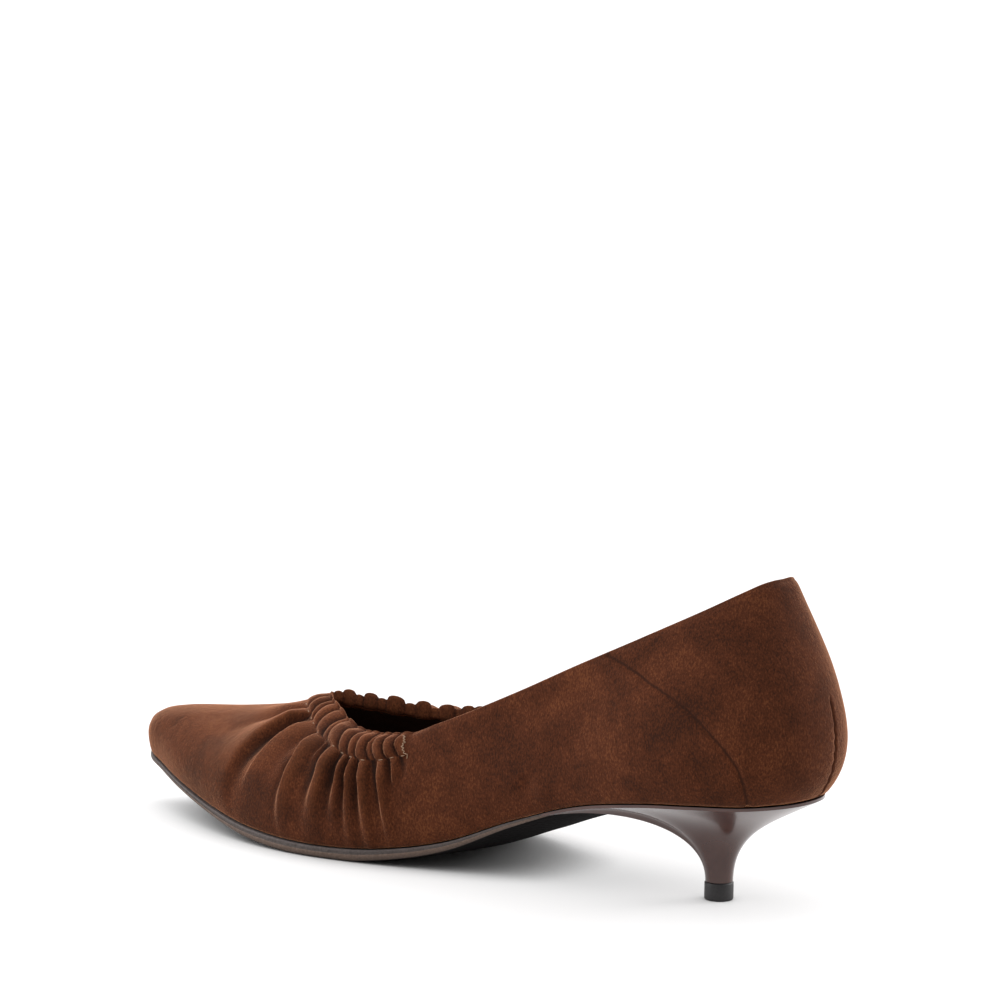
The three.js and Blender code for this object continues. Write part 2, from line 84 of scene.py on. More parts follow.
def smoothTable(places, values):
    # a smooth curve through a table, straight past its ends
    places, values = np.asarray(places, float), np.asarray(values, float)
    order = np.arange(len(places))
    before, after = np.maximum(order - 1, 0), np.minimum(order + 1, len(places) - 1)
    slopes = (values[after] - values[before]) / (places[after] - places[before])

    def valueAt(place):
        place = np.asarray(place, float)
        inside = np.clip(place, places[0], places[-1])
        start = np.clip(np.searchsorted(places, inside, side="right") - 1, 0, len(places) - 2)
        span = places[start + 1] - places[start]
        t = (inside - places[start]) / span
        bend = t * t * (3 - 2 * t)
        turned = t * (1 - t) ** 2 * slopes[start] + t * t * (t - 1) * slopes[start + 1]
        value = values[start] + (values[start + 1] - values[start]) * bend + turned * span
        value = value + np.minimum(place - places[0], 0) * slopes[0]
        return value + np.maximum(place - places[-1], 0) * slopes[-1]

    return valueAt


def closedCurve(points):
    # a smooth closed curve that passes evenly through its points
    points = np.asarray(points, float)
    count = len(points)
    before, after, beyond = (np.roll(points, shift, axis=0) for shift in (1, -1, -2))
    step = np.sqrt(np.linalg.norm(after - points, axis=1))[:, None]
    stepBefore, stepAfter = np.roll(step, 1, axis=0), np.roll(step, -1, axis=0)
    ahead = (after - points) / step
    leave = ((points - before) / stepBefore - (after - before) / (stepBefore + step) + ahead) * step
    arrive = (ahead - (beyond - points) / (step + stepAfter) + (beyond - after) / stepAfter) * step

    def pointAt(turn):
        place = (np.asarray(turn, float) % 1) * count
        index = np.floor(place).astype(int) % count
        t = (place - np.floor(place))[..., None]
        a, b, m, n = points[index], after[index], leave[index], arrive[index]
        return a + m * t + (3 * (b - a) - 2 * m - n) * t ** 2 + (2 * (a - b) + m + n) * t ** 3

    return pointAt


def smooth(value):
    value = np.clip(value, 0, 1)
    return value * value * (3 - 2 * value)


def bump(distance, width):
    # a soft bump, 1 in the middle and 0 from the width on
    return np.cos(np.clip(np.abs(distance / width), 0, 1) * math.pi / 2) ** 2


def rise(station):
    # height of the feather line
    return featherTable(np.asarray(station, float))


def lean(station):
    share = np.clip((station - last["leanFrom"]) / (last["footLength"] - last["leanFrom"]), 0, 1)
    return last["toeLean"] * share * share


climb = last["heelHeight"] - last["ballRise"]
featherTable = smoothTable(
    sections[:, 0] * last["footLength"],
    last["ballRise"] + sections[:, 3] * climb + sections[:, 4] * last["toeSpring"],
)
half = len(sections) - 1
rows = np.concatenate([np.arange(half + 1), np.arange(half - 1, 0, -1)])
side = np.concatenate([np.ones(half + 1), -np.ones(half - 1)])
shape = sections[rows]
footStations = shape[:, 0] * last["footLength"]
footHalf = np.where(side > 0, shape[:, 1], shape[:, 2]) * last["ballWidth"]
footCurve = closedCurve(np.stack([footStations, side * footHalf + lean(footStations), 0 * side], 1))


def footPoint(turn):
    point = footCurve(turn)
    point[..., 2] = rise(point[..., 0])
    return point


def outward(turn):
    # square to the feather line, in plan
    along = footCurve(np.asarray(turn) + 0.0001) - footCurve(np.asarray(turn) - 0.0001)
    out = np.stack([-along[..., 1], along[..., 0], 0 * along[..., 0]], -1)
    return out / np.linalg.norm(out, axis=-1, keepdims=True)


throatRise = last["ballRise"] + last["throatHeight"]
backRise = last["heelHeight"] + last["backHeight"]
rimStations = shape[:, 5] * last["footLength"]
rimPoints = np.stack([
    rimStations,
    side * shape[:, 6] * last["ballWidth"] + lean(rimStations),
    throatRise + shape[:, 7] * (backRise - throatRise),
], 1)
rowTurns = np.arange(len(rows)) / len(rows)
rowFeet = footPoint(rowTurns)
rowRise = rimPoints[:, 2] - rowFeet[:, 2]
bellyPoints = rowFeet + outward(rowTurns) * (shape[:, 8] * last["fullness"])[:, None]
bellyPoints[:, 2] += shape[:, 9] * rowRise
shoulderPoints = rimPoints.copy()
shoulderPoints[:, :2] += (rowFeet - rimPoints)[:, :2] * shape[:, 10:11]
shoulderPoints[:, 2] -= shape[:, 11] * rowRise
rimCurve, bellyCurve, shoulderCurve = (closedCurve(points) for points in (rimPoints, bellyPoints, shoulderPoints))


def wallPoint(turn, v):
    # the smooth wall: turn goes round the shoe, v from the feather line (0) to the topline (1)
    v = np.asarray(v, float)[..., None]
    w = 1 - v
    return (
        w ** 3 * footPoint(turn)
        + 3 * w * w * v * bellyCurve(turn)
        + 3 * w * v * v * shoulderCurve(turn)
        + v ** 3 * rimCurve(turn)
    )


def wallNormal(turn, v):
    low, high = np.maximum(v - 0.01, 0), np.minimum(v + 0.01, 1)
    along = wallPoint(turn + 0.0005, v) - wallPoint(turn - 0.0005, v)
    up = wallPoint(turn, high) - wallPoint(turn, low)
    normal = np.cross(up, along)
    return normal / np.linalg.norm(normal, axis=-1, keepdims=True)


# Casing of the elastic and the fan of its gathers, as in the pattern.
casing = {
    "depth": 9.5,
    "from": 129,
    "fade": 4,
    # place and how many mm the stitch line hangs below the casing's depth
    "sag": [(0, 0), (0.13, 0), (0.3, 0.8), (0.41, 1.4), (0.62, 2.2), (0.72, 3.2), (0.83, 3.2), (0.92, 1.9),
            (0.98, 0.6), (1.05, 0), (5, 0)],
    "fan": [(0, 0), (0.05, 0.1), (0.15, 0.23), (0.3, 0.18), (0.45, 0.13), (0.65, 0.06), (0.85, 0.08),
            (1, 0.05), (1.4, 0), (5, 0)],
}
rimSteps = 800
rimWalk = rimCurve(np.arange(rimSteps // 2 + 1) / rimSteps)
rimLengths = np.concatenate([[0], np.cumsum(np.linalg.norm(np.diff(rimWalk, axis=0), axis=1))])
rimTurns = np.arange(rimSteps // 2 + 1) / rimSteps
casingStep = int(np.argmax(rimWalk[:, 0] > casing["from"]))
casingTurn = casingStep / rimSteps
casingLength = rimLengths[-1] - rimLengths[casingStep]
driftTable = smoothTable(*zip(*casing["fan"]))
sagTable = smoothTable(*zip(*casing["sag"]))


def placeAt(turn):
    # place along the topline from the throat (0) to the end of the casing (1)
    turn = np.asarray(turn, float) % 1
    return (rimLengths[-1] - np.interp(np.minimum(turn, 1 - turn), rimTurns, rimLengths)) / casingLength


def turnAt(place):
    return np.interp(rimLengths[-1] - casingLength * place, rimLengths, rimTurns)


def fannedTurn(top, level):
    # the turn on the wall below a turn of the topline; level: 0 topline, 1 stitch line, 2 feather line
    down = np.clip(level - 1, 0, 1)
    shift = driftTable(placeAt(top)) * (1 - (1 - down) ** 2)
    turn = turnAt(placeAt(top) + shift)
    return np.where(shift == 0, top, np.where(top > 0.5, 1 - turn, turn))


rulerSteps = 24
rulerTurns = np.linspace(0, 1, 1601)
rulerPoints = np.stack([
    wallPoint(rulerTurns, np.full(1601, 1 - step / rulerSteps)) for step in range(rulerSteps + 1)
])
ruler = np.zeros((rulerSteps + 1, 1601))
ruler[1:] = np.cumsum(np.linalg.norm(np.diff(rulerPoints, axis=0), axis=-1), 0)


def heightOn(turn, level):
    # height v on the wall, with its lengths above and below the stitch line
    turn, level = np.broadcast_arrays(turn, level)
    place = (turn % 1) * 1600
    index = np.minimum(place.astype(int), 1599)
    lengths = ruler[:, index] + (place - index) * (ruler[:, index + 1] - ruler[:, index])
    above = casing["depth"] + sagTable(placeAt(turn))
    below = lengths[-1] - above
    depth = np.minimum(level, 1) * above + np.maximum(level - 1, 0) * below
    step = np.clip((lengths < depth).sum(0), 1, rulerSteps)
    low = np.take_along_axis(lengths, (step - 1)[None], 0)[0]
    high = np.take_along_axis(lengths, step[None], 0)[0]
    return np.clip(1 - (step - 1 + (depth - low) / (high - low)) / rulerSteps, 0, 1), above, below


print("last worked out")


# Placing and finishing, shared by all pieces.
liftLow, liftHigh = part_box("top_lift")
seatOrigin = np.array([
    (liftLow[0] + liftHigh[0]) * 500 - last["liftAt"],
    (liftLow[1] + liftHigh[1]) * 500,
    0,
])


weld = {"within": 2e-6, "degenerate": 1e-7}


def toFrame(points):
    # millimetres at stations to metres in the shoe's frame
    return (np.asarray(points) + seatOrigin) / 1000


def layMesh(name, points, marks=None, isRing=False):
    # a grid whose rows run round the shoe; its vertices are moved into place and its seams merged
    points = np.concatenate([points, points[:, :1]], 1)
    marks = {key: np.concatenate([value, value[:, :1]], 1) for key, value in (marks or {}).items()}
    if isRing:
        points = np.concatenate([points, points[:1]])
        marks = {key: np.concatenate([value, value[:1]]) for key, value in marks.items()}
    rowCount, columnCount = points.shape[:2]
    bm = bmesh.new()
    bmesh.ops.create_grid(bm, x_segments=columnCount - 1, y_segments=rowCount - 1, size=1)
    layers = {key: bm.verts.layers.float.new(key) for key in marks}
    flat = toFrame(points).reshape(-1, 3)
    flatMarks = {key: value.reshape(-1) for key, value in marks.items()}
    bm.verts.ensure_lookup_table()
    for index, vertex in enumerate(bm.verts):
        vertex.co = flat[index]
        for key, layer in layers.items():
            vertex[layer] = flatMarks[key][index]
    bmesh.ops.remove_doubles(bm, verts=bm.verts, dist=weld["within"])
    bmesh.ops.dissolve_degenerate(bm, dist=weld["degenerate"], edges=bm.edges)
    bmesh.ops.recalc_face_normals(bm, faces=bm.faces)
    if bm.calc_volume(signed=True) < 0:
        bmesh.ops.reverse_faces(bm, faces=bm.faces)
    loose = sum(1 for edge in bm.edges if len(edge.link_faces) != 2)
    print(name, "volume cm3", round(bm.calc_volume(signed=True) * 1e6, 2), "open edges", loose)
    return finishMesh(name, bm)


def finishMesh(name, bm, isSmooth=True):
    mesh = bpy.data.meshes.new(name)
    bm.to_mesh(mesh)
    bm.free()
    for face in mesh.polygons:
        face.use_smooth = isSmooth
    piece = bpy.data.objects.new(name, mesh)
    bpy.context.scene.collection.objects.link(piece)
    return piece


def dress(piece, material, slot, *nodes):
    piece.data.materials.clear()
    piece.data.materials.append(material)
    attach(piece, "root")
    if nodes:
        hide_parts(*nodes)


def colour(code):
    # sRGB hex to linear
    parts = [int(code[start:start + 2], 16) / 255 for start in (1, 3, 5)]
    return tuple(part / 12.92 if part <= 0.04045 else ((part + 0.055) / 1.055) ** 2.4 for part in parts) + (1,)


def addNode(tree, kind, inputs=None, **settings):
    node = tree.nodes.new(kind)
    for key, value in settings.items():
        setattr(node, key, value)
    for key, value in (inputs or {}).items():
        if isinstance(value, bpy.types.NodeSocket):
            tree.links.new(value, node.inputs[key])
        else:
            node.inputs[key].default_value = value
    return node


def newMaterial(name):
    material = bpy.data.materials.new(name)
    material.use_nodes = True
    tree = material.node_tree
    shader = tree.nodes["Principled BSDF"]
    place = addNode(tree, "ShaderNodeTexCoord").outputs["Object"]
    inMm = addNode(tree, "ShaderNodeMapping", {"Vector": place, "Scale": (1000, 1000, 1000)}).outputs["Vector"]
    return material, tree, shader, inMm


def ramp(tree, factor, stops):
    node = addNode(tree, "ShaderNodeValToRGB", {"Fac": factor})
    band = node.color_ramp
    band.elements[0].position, band.elements[0].color = stops[0]
    band.elements[1].position, band.elements[1].color = stops[-1]
    for position, value in stops[1:-1]:
        band.elements.new(position).color = value
    return node.outputs["Color"]


def grey(value):
    return (value, value, value, 1)


def between(tree, value, start, end, low, high):
    # a value that goes from start to end, spread from low to high
    inputs = {"Value": value, "From Min": start, "From Max": end, "To Min": low, "To Max": high}
    return addNode(tree, "ShaderNodeMapRange", inputs).outputs[0]


def mixed(tree, below, above, share, kind="MIX"):
    inputs = {6: below, 7: above, 0: share}
    return addNode(tree, "ShaderNodeMix", inputs, data_type="RGBA", blend_type=kind).outputs[2]


# Suede upper: gathers at signed places from the throat, + on the inner and - on the outer side.
suedeUpper = {
    "plainColumns": 185,
    "gatherColumns": 170,
    "bodyRows": 66,
    "casingRows": 26,
    "wall": 1.8,
    "turnedIn": 0.62,
    "rowCrowding": 0.12,
    "seamDepth": 0.5,
    "seamWidth": 0.8,
    "welt": 0.3,
    "weltAt": 1.9,
    "weltWidth": 1.4,
    "dartDepth": 0.75,
    "dartWidth": 0.5,
    "pucker": 0.18,
    "puckerPitch": 3.7,
    "puckerWidth": 2.2,
    "footPull": 0.6,
    "behindLining": 0.9,
    "farMark": 99.0,
    "gatherEnd": 0.984,
    "gatherSlant": 0.08,
    "gatherFade": 0.035,
    "footRound": 1.3,
    "edgeRound": 1,
    "backDrop": 0.2,
    "backWidth": 0.045,
    "edgeSoft": 0.35,
    "backSoft": 0.6,
    "softLevel": 0.28,
    "casingSwell": 1.1,
    "ridge": 1.9,
    "fatness": 0.42,
    "outerFlat": 0.5,
    "rimRound": 0.42,
    "rimTame": 0.55,
    "inRidge": 0.9,
    "throatPlain": 0.07,
    "fold": 2.8,
    "trough": 1.3,
    "deepest": 0.7,
    "crease": 0.9,
    "pinch": 0.5,
    "pinchWidth": 0.8,
    # places of a ridge at the topline, half way and at the stitch line; size on ridge; roll over the topline in mm
    "ridges": [
        (-1.02, -1.04, -1.07, 0.2, 0), (-0.94, -0.97, -1.02, 0.75, 0), (-0.88, -0.91, -0.965, 0.9, 0.2),
        (-0.815, -0.85, -0.91, 1, 0.3), (-0.75, -0.79, -0.86, 0.9, 0.1), (-0.69, -0.73, -0.81, 1, 0.1),
        (-0.635, -0.675, -0.755, 0.5, -0.3), (-0.58, -0.625, -0.71, 1.1, 0.4), (-0.515, -0.56, -0.65, 0.5, 0.1),
        (-0.461, -0.51, -0.6, 1.05, 1.4), (-0.395, -0.44, -0.52, 0.6, 0.6), (-0.314, -0.355, -0.43, 1.05, 1.5),
        (-0.25, -0.29, -0.37, 0.6, 0.5), (-0.195, -0.235, -0.31, 1, 0.9), (-0.135, -0.165, -0.235, 0.6, 0.3),
        (-0.087, -0.12, -0.18, 1.15, 0.6), (-0.035, -0.055, -0.1, 0.65, 0.6),
        (0.02, 0.04, 0.08, 0.7, 0.4), (0.075, 0.115, 0.19, 0.95, 0.4), (0.14, 0.18, 0.255, 0.7, 0.2),
        (0.215, 0.26, 0.335, 1.05, 0.4), (0.31, 0.355, 0.44, 1.1, 0.3), (0.395, 0.44, 0.535, 0.55, 0),
        (0.475, 0.53, 0.645, 1.3, 0.2), (0.58, 0.63, 0.72, 1.15, -0.2), (0.655, 0.7, 0.775, 0.8, -0.2),
        (0.715, 0.765, 0.843, 1.05, -0.4), (0.765, 0.81, 0.885, 0.5, -0.2), (0.815, 0.86, 0.925, 1.05, -0.4),
        (0.872, 0.915, 0.973, 1, -0.4), (0.935, 0.97, 1.025, 0.8, -0.3), (1.02, 1.04, 1.075, 0.2, 0),
    ],
    # place and mm that the elastic pulls the topline down
    "sink": [
        (-1.15, 0), (-0.85, 1.4), (-0.5, 1.4), (-0.15, 1.1), (0, 0.4), (0.3, 0.3), (0.66, 0.9), (0.92, 0.9),
        (1.1, 0),
    ],
    # places at the stitch line, at a third and at the lower end; half widths before and behind; size; reach
    "folds": [
        (0.06, 0.05, 0.05, 0.04, 0.05, 0.6, 0.5),
        (0.185, 0.152, 0.155, 0.07, 0.036, 1.35, 1),
        (0.31, 0.285, 0.29, 0.03, 0.1, 1.05, 0.75),
        (0.38, 0.385, 0.39, 0.028, 0.03, 0.4, 0.2),
        (0.46, 0.515, 0.515, 0.034, 0.075, 1.15, 1),
        (0.565, 0.58, 0.585, 0.02, 0.026, 0.45, 0.25),
        (0.652, 0.682, 0.665, 0.04, 0.046, 1.15, 0.95),
        (0.705, 0.72, 0.715, 0.014, 0.018, 0.45, 0.25),
        (0.746, 0.756, 0.742, 0.024, 0.026, 0.95, 0.85),
        (0.784, 0.794, 0.79, 0.018, 0.024, 0.85, 1.1),
        (0.843, 0.852, 0.86, 0.026, 0.028, 1, 1.15),
        (0.884, 0.892, 0.9, 0.012, 0.016, 0.45, 0.3),
        (0.926, 0.936, 0.975, 0.024, 0.034, 0.95, 1),
        (0.976, 0.99, 1, 0.02, 0.03, 0.65, 0.35),
        (-0.06, -0.055, -0.05, 0.04, 0.05, 0.6, 0.4),
        (-0.17, -0.15, -0.17, 0.045, 0.08, 0.95, 0.85),
        (-0.29, -0.3, -0.32, 0.035, 0.09, 1, 0.8),
        (-0.38, -0.385, -0.39, 0.026, 0.03, 0.5, 0.3),
        (-0.47, -0.485, -0.475, 0.04, 0.07, 1.05, 0.88),
        (-0.57, -0.575, -0.575, 0.025, 0.03, 0.55, 0.3),
        (-0.65, -0.645, -0.63, 0.042, 0.05, 1, 0.85),
        (-0.72, -0.715, -0.71, 0.024, 0.03, 0.8, 0.6),
        (-0.785, -0.78, -0.775, 0.026, 0.03, 0.95, 0.9),
        (-0.85, -0.85, -0.855, 0.024, 0.03, 0.9, 0.8),
        (-0.91, -0.915, -0.93, 0.024, 0.03, 0.85, 0.7),
        (-0.97, -0.98, -0.99, 0.024, 0.03, 0.7, 0.5),
    ],
    # places at the stitch line, at a third and at the lower end; half width; size; reach
    "troughs": [
        (0.23, 0.205, 0.2, 0.034, 1.4, 0.95),
        (0.425, 0.475, 0.48, 0.026, 1, 0.85),
        (0.585, 0.632, 0.632, 0.026, 1.1, 0.85),
        (0.71, 0.722, 0.71, 0.022, 1.2, 0.8),
        (0.766, 0.774, 0.765, 0.014, 0.9, 0.9),
        (0.815, 0.825, 0.825, 0.016, 0.8, 0.9),
        (0.886, 0.905, 0.93, 0.02, 1, 0.85),
        (0.953, 0.968, 0.99, 0.016, 0.8, 0.5),
        (1.008, 1.028, 1.045, 0.018, 0.8, 0.3),
        (-0.235, -0.235, -0.26, 0.032, 1, 0.75),
        (-0.43, -0.44, -0.45, 0.028, 1, 0.8),
        (-0.58, -0.585, -0.59, 0.028, 1, 0.75),
        (-0.69, -0.69, -0.685, 0.02, 1, 0.7),
        (-0.75, -0.75, -0.745, 0.016, 0.9, 0.6),
        (-0.82, -0.82, -0.82, 0.016, 0.9, 0.6),
        (-0.88, -0.88, -0.885, 0.016, 0.9, 0.6),
        (-0.94, -0.945, -0.955, 0.016, 0.8, 0.5),
        (-1.008, -1.028, -1.045, 0.018, 0.7, 0.3),
    ],
    # turn, level, half width round the shoe and down the wall in turns and levels, depth in mm
    "dents": [
        (0.209, 1.66, 0.007, 0.16, 0.8),
        (0.201, 1.8, 0.006, 0.14, -0.45),
        (0.19, 1.45, 0.02, 0.3, 0.4),
        (0.163, 1.75, 0.02, 0.2, 0.35),
        (0.14, 1.3, 0.025, 0.3, -0.3),
        (0.112, 1.78, 0.02, 0.16, 0.4),
        (0.085, 1.3, 0.03, 0.35, 0.3),
        (0.245, 1.5, 0.03, 0.35, 0.35),
        (0.15, 1.7, 0.03, 0.25, -0.25),
        (0.8, 1.8, 0.014, 0.3, 0.4),
        (0.06, 1.45, 0.02, 0.25, 0.25),
        (0.95, 1.5, 0.02, 0.25, 0.25),
        (0.4, 1.7, 0.03, 0.2, 0.3),
        (0.6, 1.7, 0.03, 0.2, 0.3),
    ],
}
counterSeam = [
    (0.1739, 0), (0.1698, 0.2), (0.163, 0.64), (0.158, 1), (0.1485, 1.14), (0.1317, 1.34), (0.1162, 1.5),
    (0.0999, 1.66), (0.0908, 1.76), (0.0854, 1.86), (0.0815, 2),
]
backSeam = [(0.9955, 1.47), (0.9965, 1.66), (0.9962, 1.8), (0.994, 2)]


def signedPlace(top):
    place = placeAt(top)
    return np.where(np.asarray(top) % 1 <= 0.5, place, -place)


def mmFromStitch(level, above, below):
    # along the wall, below the stitch line positive
    return (level - 1) * np.where(level < 1, above, below)


def ridgeAt(place, level):
    # round of the casing's gathers (1 on a crest, 0 in a crease), their size, and their roll over the topline;
    # a large gather takes more of the room between two crests than a small one
    rim, middle, seam, size, roll = np.array(suedeUpper["ridges"]).T
    order = np.arange(len(rim))
    level = np.clip(level, 0, 1)
    shares = ((1 - level) * (1 - 2 * level), 4 * level * (1 - level), level * (2 * level - 1))
    phase = sum(share * np.interp(place, crests, order) for share, crests in zip(shares, (rim, middle, seam)))
    phase = np.clip(phase, 0, len(rim) - 1)
    first = np.minimum(phase.astype(int), len(rim) - 2)
    crease = size[first] / (size[first] + size[first + 1])
    t = phase - first
    phase = first + np.where(t < crease, 0.5 * t / crease, 0.5 + 0.5 * (t - crease) / (1 - crease))
    flatter = 1 - suedeUpper["outerFlat"] * (1 - level) * (place < 0)
    crest = np.abs(np.cos(phase * math.pi)) ** ((suedeUpper["fatness"] + 0.25 * level) * flatter)
    nearest = np.round(phase).astype(int)
    return crest, size[nearest], roll[nearest]


def atBack(top):
    # 1 at the back seam and 0 away from it
    return np.exp(-(((top + 0.5) % 1 - 0.5) / suedeUpper["backWidth"]) ** 2)


def sunk(points, top, level):
    # the casing drawn down where the elastic pulls it
    place, pull = np.array(suedeUpper["sink"]).T
    down = np.interp(signedPlace(top), place, pull)
    down = down + suedeUpper["backDrop"] * atBack(top)
    points[..., 2] -= down * smooth(1 - level / 0.8)
    return points


def gatheredAt(place, level):
    # 1 within the casing and 0 past its slanted ends
    end = suedeUpper["gatherEnd"] + suedeUpper["gatherSlant"] * np.clip(level, 0, 1)
    return smooth((end - np.abs(place)) / suedeUpper["gatherFade"])


def acrossLine(place, run, line, before, behind):
    # share of the way across a fold or trough that runs down the wall, 0 on its line and 1 from its sides on
    seam, third, low = line
    at = np.interp(run, (0, 0.16, 0.33, 1), (seam, (seam + third) / 2, third, low))
    apart = np.where(place * seam > 0, np.abs(place) - np.abs(at), 9)
    return np.clip(np.abs(apart) / np.where(apart < 0, before, behind), 0, 1)


def foldAt(place, level):
    # the gathers that run down the wall from the stitch line, and the troughs between them
    down = np.clip(level - 1, 0, 1)
    folds = np.zeros(np.broadcast(place, down).shape)
    troughs = np.zeros_like(folds)
    for *line, before, behind, size, reach in suedeUpper["folds"]:
        run = np.clip(down / reach, 0, 1)
        across = acrossLine(place, run, line, before * (1 + 0.5 * run), behind * (1 + 0.5 * run))
        crest = np.cos(across * math.pi / 2) ** (0.9 + 1.1 * smooth(run * 1.6))
        folds = folds + (size * crest * (1 - smooth(run)) ** 0.6) ** 5
    for *line, width, size, reach in suedeUpper["troughs"]:
        run = np.clip(down / reach, 0, 1)
        across = acrossLine(place, run, line, width * (1 + 0.7 * run), width * (1 + 0.7 * run))
        troughs = np.maximum(troughs, size * np.cos(across * math.pi / 2) ** 2 * (1 - smooth(run)))
    return folds ** 0.2, troughs


def upperOffset(top, level, above, below):
    # how far the suede stands out from the smooth wall, and a mark of painted shade in its creases and painted
    # highlight on its crests
    place = signedPlace(top)
    inCasing = smooth((1 - np.abs(place)) * casingLength / casing["fade"])
    along = mmFromStitch(level, above, below)
    inside = np.clip(level, 0, 1)
    bow = np.sin(math.pi * (0.12 + 0.76 * inside)) ** 0.8
    crest, size, _ = ridgeAt(place, inside)
    gathered = gatheredAt(place, level)
    casingPart = suedeUpper["casingSwell"] * bow * inCasing
    tame = 1 - suedeUpper["rimTame"] * smooth((place - 0.42) / 0.12) * smooth(1 - level / 0.35)
    casingPart = casingPart + suedeUpper["ridge"] * (crest * size - 0.35) * gathered * (0.5 + 0.5 * bow) * tame
    soft = suedeUpper["edgeSoft"] * (1 - gathered) + suedeUpper["backSoft"] * atBack(top)
    casingPart = casingPart - soft * np.clip(1 - level / suedeUpper["softLevel"], 0, 1) ** 2
    folds, troughs = foldAt(place, level)
    bunched = gathered * np.exp(-(np.clip(along, 0, None) / 9) ** 2)
    body = suedeUpper["fold"] * folds * (1 - 0.6 * np.clip(troughs, 0, 1)) * (0.45 + 0.55 * smooth(along / 7))
    body = body - suedeUpper["crease"] * bunched * (1 - np.clip(folds, 0, 1)) ** 2 - suedeUpper["trough"] * troughs
    body = np.where(body < 0, suedeUpper["deepest"] * np.tanh(body / suedeUpper["deepest"]), body)
    pinch = 1 - suedeUpper["pinch"] * np.exp(-((along / suedeUpper["pinchWidth"]) ** 2)) * gathered
    blend = smooth(along + 0.5)
    offset = (casingPart * (1 - blend) + body * blend) * pinch
    # painted shade in the creases and troughs, and painted highlight (below zero) on the crests of gathers and folds
    inCrease = gathered * (1.25 * (1 - crest) - 0.25)
    inTrough = np.clip(troughs, 0, 1) - 0.3 * np.clip(folds, 0, 1)
    paintedShadeAndHighlight = np.where(level < 1, inCrease, inTrough)
    for turn, deepLevel, wideTurn, wideLevel, depth in suedeUpper["dents"]:
        offset = offset - depth * bump(top - turn, wideTurn) * bump(level - deepLevel, wideLevel)
    return offset, paintedShadeAndHighlight


def seamDistance(points, path, top, level):
    # mm from each point to a seam drawn on the wall, + before it and - behind it
    tops, levels = np.array(path).T
    walk = np.linspace(0, len(path) - 1, 160)
    tops = np.interp(walk, np.arange(len(path)), tops)
    levels = np.interp(walk, np.arange(len(path)), levels)
    turns = fannedTurn(tops, levels)
    heights = heightOn(turns, levels)[0]
    line = wallPoint(turns, heights)
    nearest = np.full(points.shape[:-1], 1e9)
    for point in line:
        nearest = np.minimum(nearest, ((points - point) ** 2).sum(-1))
    return np.sqrt(nearest) * np.sign(top - np.interp(level, levels, tops))


def columnTops(plainCount, gatherCount):
    share = np.arange(plainCount) / plainCount
    plain = casingTurn * (share - 0.4 * np.sin(2 * math.pi * share) / (2 * math.pi))
    share = np.arange(gatherCount + 1) / gatherCount
    crowded = share - 0.35 * np.sin(2 * math.pi * share) / (2 * math.pi)
    tops = np.concatenate([plain, turnAt(1 - crowded)])
    tops[-1] = 0.5
    return np.concatenate([tops, 1 - tops[-2:0:-1]])


